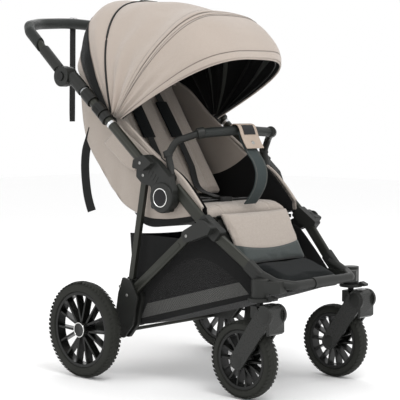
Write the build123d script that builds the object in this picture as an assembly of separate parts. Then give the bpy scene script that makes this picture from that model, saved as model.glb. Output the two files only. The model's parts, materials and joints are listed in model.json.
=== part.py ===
from build123d import *
from math import cos, hypot, pi, radians, sin
import os

# Four-wheel folding stroller, in millimetres. +Z is up, the front is -Y, the origin is on the ground
# in the middle of the object's box. Every paired piece is drawn on the +X side and mirrored.
os.makedirs("parts", exist_ok=True)

# ---------------------------------------------------------------- driving dimensions
REAR_WHEEL_R = 132.0
REAR_WHEEL_X = 286.5
REAR_AXLE_Y = 117.0
REAR_TYRE_W = 35.0
FRONT_WHEEL_R = 100.0
FRONT_WHEEL_X = 190.0
FRONT_AXLE_Y = -379.0
FRONT_TYRE_W = 36.0
SWIVEL_Y = -430.0            # caster axis, ahead of the front axle
SPOKE_PAIRS = 7
AXLE_PIN_R = 6.0
RUNNING_GAP = 0.06           # radial clearance of a shaft in its bore

HUB = (-124.0, 500.0)        # y, z of the front legs' fold hinge
STRUT_PIVOT = (-55.0, 557.0)  # y, z of the rear legs' fold hinge
LINK_FRONT = (-213.0, 405.0)  # y, z where the brace meets the front leg
LINK_REAR = (7.0, 230.0)     # y, z where the brace is hinged to the rear housing
STRUT_FOOT = (-2.0, 281.0)

SIDE_TUBE_X = 232.0
SIDE_TUBE_LOW = (-64.0, 586.0)
SIDE_TUBE_HIGH = (222.0, 823.0)
SIDE_TUBE_R = 13.0
HANDLE_PIVOT = (246.0, 824.0)
HANDLE_GRIP_Y = 480.0
HANDLE_GRIP_Z = 995.0
GRIP_R = 15.8

LINK_LAYER = (212.0, 224.0)  # x range that the struts and braces swing in
LEG_LAYER = (196.0, 208.0)   # x range of the front legs at the hub
CHEEK_IN = (208.7, 211.4)    # x ranges of the plates each side of the links
CHEEK_OUT = (224.6, 229.0)

SEAT_HALF_W = 170.0
SEAT_FRONT_Y = -232.0
SEAT_TOP_Z = 478.0
RECLINE_PIVOT = (0.0, 463.0)
BACK_ANGLE = 57.0            # degrees above horizontal
BACK_LENGTH = 415.0
LEGREST_PIVOT = (-239.0, 452.0)
LEGREST_ANGLE = 61.0         # degrees below horizontal
LEGREST_LENGTH = 150.0

CANOPY_PIVOT = (82.0, 698.0)
CANOPY_WALL = 5.0

CROSSBAR_Y = -482.0
CROSSBAR_Z = 289.0
CROSSBAR_R = 12.0
BUMPER_BASE = (-135.0, 551.0)
BUMPER_X = 195.5
BUMPER_PIN_R = 5.0
HINGE_ROD_R = 4.0


# ---------------------------------------------------------------- helpers
def rod(start, end, radius, bore=0.0):
    """A straight round bar or tube between two points."""
    a, b = Vector(*start), Vector(*end)
    place = Plane(origin=a, z_dir=b - a)
    body = extrude(place * Circle(radius), amount=(b - a).length)
    if bore:
        body = body - extrude(place * Circle(bore), amount=(b - a).length)
    return body


def disc(x_range, centre, radius, bore=0.0):
    """A round plate or pin along X, centred on a (y, z) point."""
    return rod((x_range[0], *centre), (x_range[1], *centre), radius, bore)


def slab(x_range, outline, corner=0.0):
    """A plate along X with a (y, z) outline, its corners rounded if asked."""
    points = [(x_range[0], y, z) for y, z in outline]
    if corner:
        wire = FilletPolyline(*points, radius=corner, close=True)
    else:
        wire = Polyline(*points, close=True)
    return extrude(make_face(wire), amount=x_range[1] - x_range[0], dir=(1, 0, 0))


def capsule(x_range, a, b, ra, rb):
    """A link plate along X: two round ends at (y, z) points and the straight bar between them."""
    ay, az = a
    by, bz = b
    length = hypot(by - ay, bz - az)
    ny, nz = -(bz - az) / length, (by - ay) / length
    bar = slab(x_range, [(ay + ra * ny, az + ra * nz), (by + rb * ny, bz + rb * nz),
                         (by - rb * ny, bz - rb * nz), (ay - ra * ny, az - ra * nz)])
    return bar + disc(x_range, a, ra) + disc(x_range, b, rb)


def bent_tube(points, radius, bends, bore=0.0):
    """A round tube along straight runs joined by arcs."""
    path = FilletPolyline(*points, radius=bends)
    place = Plane(origin=path @ 0, z_dir=path % 0)
    body = sweep(place * Circle(radius), path=path)
    if bore:
        body = body - sweep(place * Circle(bore), path=path)
    return body


def block(x_range, y_range, z_range, corner=0.0):
    """A box between three pairs of limits, its edges along Z rounded if asked."""
    size = [hi - lo for lo, hi in (x_range, y_range, z_range)]
    middle = [(hi + lo) / 2 for lo, hi in (x_range, y_range, z_range)]
    body = Pos(*middle) * Box(*size)
    if corner:
        body = fillet(body.edges().filter_by(Axis.Z), corner)
    return body


def other_side(solid):
    return mirror(solid, about=Plane.YZ)


def pair(solid):
    return [solid, other_side(solid)]


def save(name, *shapes):
    """Write one node; shapes may be solids or lists of them."""
    solids = []
    for shape in shapes:
        for item in (shape if isinstance(shape, list) else [shape]):
            solids += list(item.solids())
    export_step(Compound(children=[Solid(s.wrapped) for s in solids]), f"parts/{name}.step")


def save_sides(name, solid):
    """Write a piece of the +X side and its mirror image as two nodes."""
    save(name + "_right", other_side(solid))
    save(name + "_left", solid)


def along(pivot, angle, forward, normal):
    """(y, z) of a point in a frame tilted by angle: forward along it, normal across it."""
    a = radians(angle)
    return (pivot[0] + forward * cos(a) - normal * sin(a), pivot[1] + forward * sin(a) + normal * cos(a))


def tilted_box(x_half, pivot, angle, forward, normal):
    """A box across the object in a tilted frame, from -x_half to +x_half."""
    f0, f1 = forward
    n0, n1 = normal
    outline = [along(pivot, angle, f, n) for f, n in ((f0, n0), (f1, n0), (f1, n1), (f0, n1))]
    return slab((-x_half, x_half), outline)


# ---------------------------------------------------------------- wheels
def wheel_profile(points, centre):
    """Turn a closed (x, r) outline about a wheel's axle line."""
    y, z = centre
    face = make_face(Polyline(*[(x, y, z + r) for x, r in points], close=True))
    return revolve(face, axis=Axis((0, y, z), (1, 0, 0)), revolution_arc=360)


def tyre(x, centre, radius, width, seat):
    h = width / 2
    crown = [(-h, seat + 4), (-h, radius - 12), (-h + 3, radius - 5), (-h + 8, radius - 1), (-3, radius)]
    outline = [(x + dx, r) for dx, r in crown] + [(x - dx, r) for dx, r in reversed(crown)]
    outline += [(x + h - 4, seat), (x - h + 4, seat)]
    return wheel_profile(outline, centre)


def rim(x, centre, seat, width, hub_r, hub_half):
    """Rim ring, hub barrel and seven pairs of blade spokes, bored for its axle pin."""
    h = width / 2
    lip = seat - 0.1
    ring = wheel_profile([(x - h, lip - 8), (x - h, lip), (x + h, lip), (x + h, lip - 8)], centre)
    body = ring + disc((x - hub_half, x + hub_half), centre, hub_r)
    spread = pi / SPOKE_PAIRS / 2
    for i in range(SPOKE_PAIRS):
        apex = 2 * pi * i / SPOKE_PAIRS
        for turn in (-spread, spread):
            foot = [centre[0] + (hub_r - 4) * sin(apex), centre[1] + (hub_r - 4) * cos(apex)]
            tip = [centre[0] + (lip - 4) * sin(apex + turn), centre[1] + (lip - 4) * cos(apex + turn)]
            body = body + capsule((x - h + 3, x + h - 3), foot, tip, 3.2, 2.6)
    return body - disc((x - hub_half - 1, x + hub_half + 1), centre, AXLE_PIN_R + RUNNING_GAP)


rear_centre = (REAR_AXLE_Y, REAR_WHEEL_R)
front_centre = (FRONT_AXLE_Y, FRONT_WHEEL_R)
REAR_SEAT_R = 103.0
FRONT_SEAT_R = 76.0
REAR_HUB_HALF = 17.0
FRONT_HUB_HALF = 19.0
save_sides("rear_tyre", tyre(REAR_WHEEL_X, rear_centre, REAR_WHEEL_R, REAR_TYRE_W, REAR_SEAT_R))
rear_cap_x = REAR_WHEEL_X + REAR_HUB_HALF
rear_cap = disc((rear_cap_x + 0.1, rear_cap_x + 2), rear_centre, 20)
rear_rim = rim(REAR_WHEEL_X, rear_centre, REAR_SEAT_R, REAR_TYRE_W - 6, 21, REAR_HUB_HALF)
save("rear_rim_left", rear_rim, rear_cap)
save("rear_rim_right", other_side(rear_rim), other_side(rear_cap))
save_sides("front_tyre", tyre(FRONT_WHEEL_X, front_centre, FRONT_WHEEL_R, FRONT_TYRE_W, FRONT_SEAT_R))
front_rim = rim(FRONT_WHEEL_X, front_centre, FRONT_SEAT_R, FRONT_TYRE_W - 6, 16, FRONT_HUB_HALF)
save_sides("front_rim", front_rim)

# ---------------------------------------------------------------- casters
ARM_IN = (159.0, 167.4)
ARM_OUT = (212.6, 221.0)
SUSPENSION_PIVOT = (-466.0, 222.0)
STEM_R = 8.0
SUSPENSION_PIN_R = 7.0
CROWN_TOP = 243.0
arm_hole = disc((150, 230), front_centre, AXLE_PIN_R)
pivot_hole = disc((150, 230), SUSPENSION_PIVOT, SUSPENSION_PIN_R)
arm = capsule(ARM_IN, SUSPENSION_PIVOT, front_centre, 26, 23)
arm = arm + capsule(ARM_OUT, SUSPENSION_PIVOT, front_centre, 26, 23)
hood_outline = [(-484, 238), (-474, 247), (-442, 247), (-442, 244.4), (-472, 244.4), (-476, 236),
                (-476, 172), (-484, 178)]
suspension = arm + slab((ARM_IN[0], ARM_OUT[1]), hood_outline)
suspension = suspension - arm_hole - pivot_hole
crown = block((169, 211), (-470, -412), (212, CROWN_TOP), 8)
crown = crown - disc((150, 230), SUSPENSION_PIVOT, SUSPENSION_PIN_R + RUNNING_GAP)
crown = crown + rod((FRONT_WHEEL_X, SWIVEL_Y, CROWN_TOP - 5), (FRONT_WHEEL_X, SWIVEL_Y, 298), STEM_R)
save_sides("caster_crown", crown)
save_sides("suspension_arm", suspension)
suspension_pin = disc((158.0, 222.0), SUSPENSION_PIVOT, SUSPENSION_PIN_R)
axle_bolt = disc((157.5, 222.5), front_centre, AXLE_PIN_R)
save("fork_pins_left", suspension_pin, axle_bolt)
save("fork_pins_right", other_side(suspension_pin), other_side(axle_bolt))

# ---------------------------------------------------------------- front frame
LEG_TOP = (202.0, -150.0, 525.0)
LEG_KNEE = (200.0, -264.0, 426.0)
LEG_FOOT = (160.0, -381.0, 325.0)


def oval_bar(start, end, wide, thick):
    """A flat oval bar whose wide side lies in the plane of the frame."""
    a, b = Vector(*start), Vector(*end)
    place = Plane(origin=a, x_dir=Vector(1, 0, 0), z_dir=b - a)
    section = RectangleRounded(thick, wide, thick / 2 - 0.5)
    return extrude(place * section, amount=(b - a).length)


leg_upper = oval_bar(LEG_TOP, LEG_KNEE, 34, 12)
leg_lower = oval_bar(LEG_KNEE, LEG_FOOT, 30, 12)
leg_eye = disc(LEG_LAYER, HUB, 35)
leg = leg_eye + leg_upper + leg_lower - disc((190, 215), HUB, 10 + RUNNING_GAP)
save("front_legs", pair(leg))

collar = slab((184.0, 208.2), [(-226, 436), (-252, 462), (-314, 420), (-290, 392)], 6)
inner_cheek = capsule((204.5, 211.4), LINK_FRONT, (-268, 428), 17, 20)
outer_cheek = capsule((224.6, 230.0), LINK_FRONT, (-268, 428), 17, 21)
bridge = slab((204.5, 230.0), [(-262, 420), (-250, 455), (-300, 432), (-286, 410)], 4)
leg_block = collar + inner_cheek + outer_cheek + bridge - leg_upper - leg_lower
save("leg_joint_blocks", pair(leg_block))

crossbar_path = [(LEG_FOOT[0] - 1, LEG_FOOT[1] - 3, LEG_FOOT[2] - 3), (150, -446, 296),
                 (118, CROSSBAR_Y, CROSSBAR_Z), (-118, CROSSBAR_Y, CROSSBAR_Z), (-150, -446, 296),
                 (-LEG_FOOT[0] + 1, LEG_FOOT[1] - 3, LEG_FOOT[2] - 3)]
crossbar = bent_tube(crossbar_path, CROSSBAR_R, 26)
crossbar = crossbar - leg - other_side(leg)
sleeve = rod((-46, CROSSBAR_Y, CROSSBAR_Z), (46, CROSSBAR_Y, CROSSBAR_Z), CROSSBAR_R + 2.4, CROSSBAR_R + 0.05)
save("front_crossbar", crossbar, sleeve)

swivel_barrel = rod((FRONT_WHEEL_X, SWIVEL_Y, 262), (FRONT_WHEEL_X, SWIVEL_Y, 308), 21.5)
corner_outline = [(196, -412), (176, -388), (148, -380), (138, -432), (132, -468), (160, -470), (196, -450)]
corner_face = make_face(Polyline(*[(x, y, 272) for x, y in corner_outline], close=True))
corner_web = extrude(corner_face, amount=30, dir=(0, 0, 1))
socket_top = (LEG_FOOT[0] + 5, LEG_FOOT[1] + 14, LEG_FOOT[2] + 13)
leg_socket = oval_bar(socket_top, (LEG_FOOT[0] - 6, -415, 296), 37, 20)
corner = swivel_barrel + corner_web + leg_socket
corner = corner - rod((FRONT_WHEEL_X, SWIVEL_Y, 260), (FRONT_WHEEL_X, SWIVEL_Y, 300), STEM_R + RUNNING_GAP)
corner = corner - leg - crossbar
lock_plate = rod((FRONT_WHEEL_X, SWIVEL_Y, 253.0), (FRONT_WHEEL_X, SWIVEL_Y, 261.9), 31, STEM_R + 1)
save("corner_castings", pair(corner.solids().sort_by(SortBy.VOLUME)[-1]), pair(lock_plate))
lever_outline = [(-480, 258), (-462.5, 258), (-462.5, 268), (-466, 270), (-482, 264)]
lever = slab((FRONT_WHEEL_X - 9, FRONT_WHEEL_X + 9), lever_outline)
save_sides("swivel_lock", lever)

# ---------------------------------------------------------------- rear frame
strut = capsule(LINK_LAYER, STRUT_PIVOT, STRUT_FOOT, 9.5, 8.5)
strut = strut - disc((200, 240), STRUT_PIVOT, 4 + RUNNING_GAP)
save("rear_struts", pair(strut))
housing_outline = [(24, 278), (-6, 272), (-33, 226), (-24, 196), (-14, 150), (20, 112), (104, 112),
                   (132, 118), (134, 146), (116, 152), (52, 176), (42, 232)]
inner_plate = slab((200.0, 211.4), housing_outline, 5)
outer_plate = slab((224.6, 231.0), housing_outline, 5)
spacer_outline = [(24, 262), (30, 215), (-8, 198), (-6, 160), (22, 122), (100, 118), (110, 146), (44, 176),
                  (40, 230), (30, 266)]
spacer = slab((211.0, 225.0), spacer_outline)
axle_arm = disc((205.0, 262.0), rear_centre, 19)
housing = inner_plate + outer_plate + spacer + axle_arm
housing = housing - disc((180, 300), rear_centre, AXLE_PIN_R) - disc(LINK_LAYER, LINK_REAR, 18)
housing = housing - capsule((211.4, 224.6), LINK_REAR, LINK_FRONT, 15, 15)
housing = housing - capsule((211.4, 224.6), LINK_REAR, (-100, 371), 15, 15) - strut
housing = housing + disc((211, 225), LINK_REAR, 4)
save("rear_housings", pair(housing.solids().sort_by(SortBy.VOLUME)[-1]))
axle_tube = rod((-199.9, *rear_centre), (199.9, *rear_centre), 11)
brake_rod = rod((-195, 80, 118), (195, 80, 118), 5)
save("rear_axle_tube", axle_tube, brake_rod)
save("rear_axle_pins", pair(disc((230.0, REAR_WHEEL_X + REAR_HUB_HALF), rear_centre, AXLE_PIN_R)))

brace = capsule((212.3, 223.7), LINK_FRONT, LINK_REAR, 12.5, 12.5)
brace = brace - disc((200, 240), LINK_REAR, 4 + RUNNING_GAP)
save("braces", pair(brace))

pedal_ring = rod((-135, *rear_centre), (-65, *rear_centre), 15.5, 11.3)
pedal_plate = slab((-132, -68), [(130, 126), (172, 122), (176, 128), (172, 132), (130, 140)], 1.5)
save("brake_pedal", pedal_ring + (pedal_plate - rod((-140, *rear_centre), (-60, *rear_centre), 14)))

# ---------------------------------------------------------------- upper frame
low, high = SIDE_TUBE_LOW, SIDE_TUBE_HIGH


def on_tube(fraction):
    return (low[0] + (high[0] - low[0]) * fraction, low[1] + (high[1] - low[1]) * fraction)


side_tube = rod((SIDE_TUBE_X, *low), (SIDE_TUBE_X, *on_tube(0.92)), SIDE_TUBE_R, SIDE_TUBE_R - 1.8)
save("side_tubes", pair(side_tube))


def tube_sleeve(start, end, radius):
    return rod((SIDE_TUBE_X, *on_tube(start)), (SIDE_TUBE_X, *on_tube(end)), radius, SIDE_TUBE_R + 0.3)


bracket_outline = [(-150, 462), (-166, 520), (-150, 556), (-106, 594), (-72, 612), (-34, 598), (-28, 552),
                   (-48, 536), (-84, 528), (-84, 470)]
bracket = slab((CHEEK_IN[0], CHEEK_OUT[1]), bracket_outline, 7)
bracket = bracket + disc((CHEEK_IN[0], CHEEK_OUT[1]), HUB, 41)
socket_outline = [(-104, 590), (-72, 612), (-34, 598), (-30, 576), (-70, 570)]
bracket = bracket + slab((CHEEK_IN[0], 246.5), socket_outline, 5)
bracket = bracket - slab((211.4, 224.6), [(-78, 480), (-78, 566), (-66, 571), (-10, 571), (-10, 480)])
bracket = bracket - rod((SIDE_TUBE_X, *low), (SIDE_TUBE_X, *high), SIDE_TUBE_R)
bracket = bracket + disc((211, 225), STRUT_PIVOT, 4) + disc((188, CHEEK_IN[0] + 1), HUB, 10)
save("hub_brackets", pair(bracket.solids().sort_by(SortBy.VOLUME)[-1]))
save("hub_covers", pair(disc((CHEEK_OUT[1] + 0.1, CHEEK_OUT[1] + 5), HUB, 40)))

tube_room = rod((SIDE_TUBE_X, *low), (SIDE_TUBE_X, *high), SIDE_TUBE_R + 0.3)
canopy_clip = disc((205.0, 222.0), CANOPY_PIVOT, 13) - tube_room
lower_collar = tube_sleeve(0.49, 0.545, 18) + canopy_clip
save("frame_locks", pair(lower_collar), pair(tube_sleeve(0.70, 0.80, 18)))
save_sides("fold_slider", tube_sleeve(0.56, 0.65, 17.5))
joint_shell = rod((SIDE_TUBE_X, *on_tube(0.83)), (SIDE_TUBE_X, *on_tube(1.0)), 18, SIDE_TUBE_R + 0.05)
joint_face = disc((214.5, 249.5), HANDLE_PIVOT, 27)
joint_shell = joint_shell + (joint_face - rod((SIDE_TUBE_X, *on_tube(0.8)), (SIDE_TUBE_X, *on_tube(1.0)), 15))
joint_shell = joint_shell - disc((210, 260), HANDLE_PIVOT, 8 + RUNNING_GAP)
joint_shell = joint_shell - disc((231.8, 260), HANDLE_PIVOT, 30)
save("handle_joints", pair(joint_shell.solids().sort_by(SortBy.VOLUME)[-1]))

# handle: a bowed bar on two tilting arms
handle_eye = disc((232.3, 254.0), HANDLE_PIVOT, 29)
button_recess = disc((250.5, 256.0), HANDLE_PIVOT, 12.4)
arm_start = (243.0, 258.0, 840.0)
handle_path = [arm_start, (240.0, 392.0, 953.0), (222.0, 418.0, 972.0), (150.0, 462.0, 984.0),
               (0.0, HANDLE_GRIP_Y, HANDLE_GRIP_Z)]
handle_path += [(-x, y, z) for x, y, z in reversed(handle_path[:-1])]
bends = [26, 30, 120, 500, 120, 30, 26]
handle_bar = bent_tube(handle_path, 11, bends)
save("handle_tube", handle_bar - handle_eye - other_side(handle_eye))
grip_cover = bent_tube(handle_path, GRIP_R, bends) - handle_bar
cut_far = block((-300, 300), (200, 346), (780, 1100))
grip_cover = grip_cover - cut_far
save("handle_grip", grip_cover.solids().sort_by(SortBy.VOLUME)[-1])
arm_shell = rod((243.0, 262.0, 843.0), (241.3, 330.0, 900.8), 15.5, 11.6)
hinge_half = handle_eye + disc((214.6, 232.8), HANDLE_PIVOT, 8) - button_recess
arm_cover = arm_shell - disc((210, 270), HANDLE_PIVOT, 29.2)
arm_cover = arm_cover.solids().sort_by(SortBy.VOLUME)[-1]
save("handle_arms", pair(hinge_half), pair(arm_cover))
save_sides("tilt_button", disc((253.8, 257.5), HANDLE_PIVOT, 12))

# ---------------------------------------------------------------- seat unit
pan_base = block((-183, 183), (SEAT_FRONT_Y + 4, -4), (430, 439.6))
ear_outline = [(-210, 430), (-210, 446), (-160, 536), (-148, 562),
               (-122, 562), (-100, 506), (-92, 446), (-60, 430)]
ear = slab((182.2, 193.0), ear_outline, 8)
ear = ear - disc((180, 200), HUB, 10.05) - disc((185.6, 200), BUMPER_BASE, 28)
ear = ear + disc((183, 207.5), BUMPER_BASE, BUMPER_PIN_R)
save("seat_pan", pan_base + ear + other_side(ear))
cushion = block((-SEAT_HALF_W, SEAT_HALF_W), (SEAT_FRONT_Y, -14), (440, SEAT_TOP_Z), 14)
save("seat_cushion", cushion)
side_panel_outline = [(SEAT_FRONT_Y, 445), (SEAT_FRONT_Y, 482), (-150, 560), (-70, 604), (66, 706), (168, 788),
                      (196, 762), (172, 640), (96, 520), (20, 452)]
save("seat_side_panels", pair(slab((173.5, 179.5), side_panel_outline)))

board = tilted_box(158, RECLINE_PIVOT, BACK_ANGLE, (14, BACK_LENGTH), (-22, -12))
recline_rod = disc((-158, 158), RECLINE_PIVOT, HINGE_ROD_R)
save("back_board", board, recline_rod)
back_pad = tilted_box(156, RECLINE_PIVOT, BACK_ANGLE, (24, BACK_LENGTH - 2), (-11.7, 22))
save("back_cushion", back_pad)
strap = tilted_box(17, RECLINE_PIVOT, BACK_ANGLE, (120, 330), (22.3, 27))
straps = [strap.translate((dx, 0, 0)) for dx in (-58, 58)]
save("shoulder_straps", *straps)
buckle = block((-24, 24), (-150, -112), (SEAT_TOP_Z + 0.4, SEAT_TOP_Z + 14), 6)
buckle = buckle - rod((0, -131, SEAT_TOP_Z + 8), (0, -131, SEAT_TOP_Z + 20), 8.2)
save("buckle_button", rod((0, -131, SEAT_TOP_Z + 9.5), (0, -131, SEAT_TOP_Z + 15.5), 7.8))
waist = block((-150, -26), (-140, -116), (SEAT_TOP_Z + 0.4, SEAT_TOP_Z + 4))
save("harness_buckle", buckle, pair(waist))

leg_tilt = 180 + LEGREST_ANGLE
rest_board = tilted_box(140, LEGREST_PIVOT, leg_tilt, (10, LEGREST_LENGTH), (2, 10))
lift_rod = disc((-140, 140), LEGREST_PIVOT, 1.8)
save("leg_rest_board", rest_board, lift_rod)
rest_pad = tilted_box(142, LEGREST_PIVOT, leg_tilt, (2, LEGREST_LENGTH), (-20, 1.7))
save("leg_rest_pad", rest_pad)
foot_outline = [(-322, 318), (-328, 308), (-396, 278), (-448, 276), (-452, 296), (-400, 314), (-346, 334)]
save("footrest", slab((-120, 120), foot_outline))

# ---------------------------------------------------------------- bumper bar
bumper_path = [(BUMPER_X, BUMPER_BASE[0] + 4, BUMPER_BASE[1] + 8),
               (196.0, -116.0, 612.0), (188.0, -138.0, 648.0),
               (148.0, -182.0, 668.0), (0.0, -198.0, 676.0)]
bumper_path += [(-x, y, z) for x, y, z in reversed(bumper_path[:-1])]
bumper_tube = bent_tube(bumper_path, 9.5, [30, 26, 40, 300, 40, 26, 30])
bumper_eye = disc((194.5, 206.0), BUMPER_BASE, 11.5)
bumper = bumper_tube + bumper_eye + other_side(bumper_eye)
bumper = bumper - disc((-220, 220), BUMPER_BASE, BUMPER_PIN_R + RUNNING_GAP)
save("bumper_bar", bumper)
bumper_grip = bent_tube(bumper_path, 13, [30, 26, 40, 300, 40, 26, 30]) - bumper_tube
for outer_range in ((136, 300), (-300, -136)):
    bumper_grip = bumper_grip - block(outer_range, (-400, 0), (500, 800))
save("bumper_grip", bumper_grip)
strap_path = [(-196, 658), (-222, 627), (-262, 590), (-268, 545), (-232, 481)]
strap_back = [(y + 4, z + 1) for y, z in reversed(strap_path)]
save("crotch_strap", slab((-24, 24), strap_path + strap_back))

# ---------------------------------------------------------------- canopy
BOW_POINTS = 16


def bow_outline(angle, reach, half_w, squareness):
    """Points of an arch in a plane through the canopy's pivot line, tilted back by angle."""
    a = radians(angle)
    foot = 20.0
    points = []
    for i in range(BOW_POINTS + 1):
        t = pi * i / BOW_POINTS
        across = abs(cos(t)) ** (2 / squareness) * (1 if cos(t) > 0 else -1)
        up = foot + (reach - foot) * abs(sin(t)) ** (2 / squareness)
        points.append((half_w * across, CANOPY_PIVOT[0] + up * sin(a), CANOPY_PIVOT[1] + up * cos(a)))
    return points


def canopy_panel(sections):
    """A thin curved panel through arches of (angle, reach, half width, squareness)."""
    faces = []
    for angle, reach, half_w, squareness in sections:
        outer = bow_outline(angle, reach, half_w, squareness)
        inner = bow_outline(angle, reach - CANOPY_WALL, half_w - CANOPY_WALL, squareness)
        faces.append(make_face(Polyline(*(outer + inner[::-1]), close=True)))
    return loft(faces, ruled=True)


rear_sections = [(50.0, 303.0, 208.0, 3.2), (36.0, 346.0, 211.0, 3.2), (24.0, 373.0, 212.0, 3.0),
                 (13.0, 349.0, 211.0, 2.6)]
main_sections = [(12.8, 349.0, 211.0, 2.6), (-6.0, 336.0, 212.0, 2.4), (-24.0, 342.0, 214.0, 2.6),
                 (-39.8, 377.0, 214.0, 3.1)]
visor_sections = [(-40.2, 377.0, 214.0, 3.1), (-52.0, 389.0, 210.0, 3.3), (-63.8, 382.0, 199.0, 3.1)]
save("canopy_rear", canopy_panel(rear_sections))
save("canopy_main", canopy_panel(main_sections))
save("canopy_visor", canopy_panel(visor_sections))


def bow_wire(angle, reach, half_w, squareness, radius):
    path = Spline(*[Vector(*p) for p in bow_outline(angle, reach, half_w, squareness)])
    return sweep(Plane(origin=path @ 0, z_dir=path % 0) * Circle(radius), path=path)


save("front_bow", bow_wire(-41.0, 367.0, 201.0, 3.1, 3))
save("visor_wire", bow_wire(-62.0, 373.0, 189.0, 3.1, 2))

# ---------------------------------------------------------------- basket
basket_side = [(30, 396), (12, 176), (-22, 150), (-398, 258), (-392, 300), (-250, 408), (-214, 398)]
basket_inside = [(26, 440), (8, 180), (-20, 155), (-392, 262), (-387, 300), (-250, 440)]
basket_plan = [(197, 34), (197, -60), (182, -262), (140, -400),
               (-140, -400), (-182, -262), (-197, -60), (-197, 34)]


def basket_prism(plan, side):
    floor = make_face(Polyline(*[(x, y, 100) for x, y in plan], close=True))
    upright = extrude(floor, amount=400, dir=(0, 0, 1))
    return upright & slab((-260, 260), side)


inner_plan = [(193.5, 60), (193.5, -60), (178.5, -262), (137, -420), (-137, -420), (-178.5, -262),
              (-193.5, -60), (-193.5, 60)]
front_dip = block((-131, 131), (-420, -300), (268, 460))
basket = basket_prism(basket_plan, basket_side) - basket_prism(inner_plan, basket_inside) - front_dip
save("basket", basket)

# ---------------------------------------------------------------- straps that hang free
wrist_outline = [(478, 979), (478, 972), (480, 700), (484, 694), (488, 700), (486, 972), (486, 979)]
wrist_strap = slab((-10, 10), wrist_outline)
save("wrist_strap", wrist_strap - bent_tube(handle_path, GRIP_R + 0.2, bends))
strap_side = [(196, 676), (222, 617), (228, 546), (220, 490), (200, 446), (196, 448), (216, 491), (224, 546),
              (218, 616), (192, 674)]
recline_strap = slab((-197, -171), strap_side)
save("recline_strap", recline_strap)
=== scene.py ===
import json
import math

import bmesh
import bpy
from bpy.props import FloatProperty, FloatVectorProperty, PointerProperty
from mathutils import Matrix, Vector, noise
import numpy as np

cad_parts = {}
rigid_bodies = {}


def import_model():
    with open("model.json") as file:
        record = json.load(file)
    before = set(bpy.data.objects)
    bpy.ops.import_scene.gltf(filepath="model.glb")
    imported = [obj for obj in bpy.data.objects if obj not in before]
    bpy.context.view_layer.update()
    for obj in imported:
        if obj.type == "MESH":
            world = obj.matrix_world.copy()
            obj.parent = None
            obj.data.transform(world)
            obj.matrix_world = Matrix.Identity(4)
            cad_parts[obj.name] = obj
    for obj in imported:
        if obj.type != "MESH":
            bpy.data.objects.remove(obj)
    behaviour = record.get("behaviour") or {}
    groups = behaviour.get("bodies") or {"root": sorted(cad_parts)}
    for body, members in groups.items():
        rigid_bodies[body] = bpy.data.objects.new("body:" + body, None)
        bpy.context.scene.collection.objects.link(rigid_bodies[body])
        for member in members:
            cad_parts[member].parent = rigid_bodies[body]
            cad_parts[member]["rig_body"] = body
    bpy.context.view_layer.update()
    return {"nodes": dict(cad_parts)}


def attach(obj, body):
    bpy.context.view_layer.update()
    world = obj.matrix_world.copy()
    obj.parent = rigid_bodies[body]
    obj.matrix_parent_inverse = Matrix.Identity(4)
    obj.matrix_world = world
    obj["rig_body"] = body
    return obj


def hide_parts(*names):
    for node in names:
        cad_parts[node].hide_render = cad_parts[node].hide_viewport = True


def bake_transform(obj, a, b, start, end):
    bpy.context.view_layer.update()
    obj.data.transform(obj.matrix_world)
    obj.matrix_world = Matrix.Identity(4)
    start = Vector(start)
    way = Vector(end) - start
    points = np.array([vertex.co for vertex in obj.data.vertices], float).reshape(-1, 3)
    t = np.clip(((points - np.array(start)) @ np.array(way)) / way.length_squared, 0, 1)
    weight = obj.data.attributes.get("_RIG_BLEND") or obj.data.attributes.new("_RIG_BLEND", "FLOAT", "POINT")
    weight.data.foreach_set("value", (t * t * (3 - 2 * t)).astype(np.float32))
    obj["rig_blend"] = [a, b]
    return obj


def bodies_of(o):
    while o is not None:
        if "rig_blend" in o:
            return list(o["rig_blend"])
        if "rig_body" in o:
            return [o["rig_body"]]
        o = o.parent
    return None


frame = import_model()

bl_info = {
    "name": "Folding stroller looks",
    "version": (1, 0, 0),
    "blender": (4, 5, 0),
    "location": "3D View > Sidebar > Stroller",
    "description": "Fabric, finishes and fittings of a four-wheel folding stroller around its packed frame",
    "category": "Object",
}

MM = 0.001
SIDES = (("left", 1.0), ("right", -1.0))


def paint(red, green, blue):
    """A linear colour from the 0 to 255 numbers of a colour chart."""
    def linear(channel):
        c = channel / 255
        return c / 12.92 if c <= 0.04045 else ((c + 0.055) / 1.055) ** 2.4
    return linear(red), linear(green), linear(blue)


def colour_property(name, description, default):
    return FloatVectorProperty(name=name, description=description, default=default, subtype="COLOR",
                               min=0, max=1)


def length_property(name, description, millimetres):
    return FloatProperty(name=name, description=description, default=millimetres * MM, unit="LENGTH", min=0)


class StrollerSizes(bpy.types.PropertyGroup):
    fabric: length_property("Fabric thickness", "Thickness of the canopy and seat cloth", 1.2)
    edge: length_property("Edge radius", "Rounding of the moulded and metal edges", 0.8)
    piping: length_property("Piping radius", "Radius of the piping cord on the canopy", 3.1)
    weave: length_property("Weave pitch", "Distance between the threads of the cloth", 1.1)
    mesh_hole: length_property("Mesh pitch", "Distance between the holes of the basket mesh", 5.0)


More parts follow.
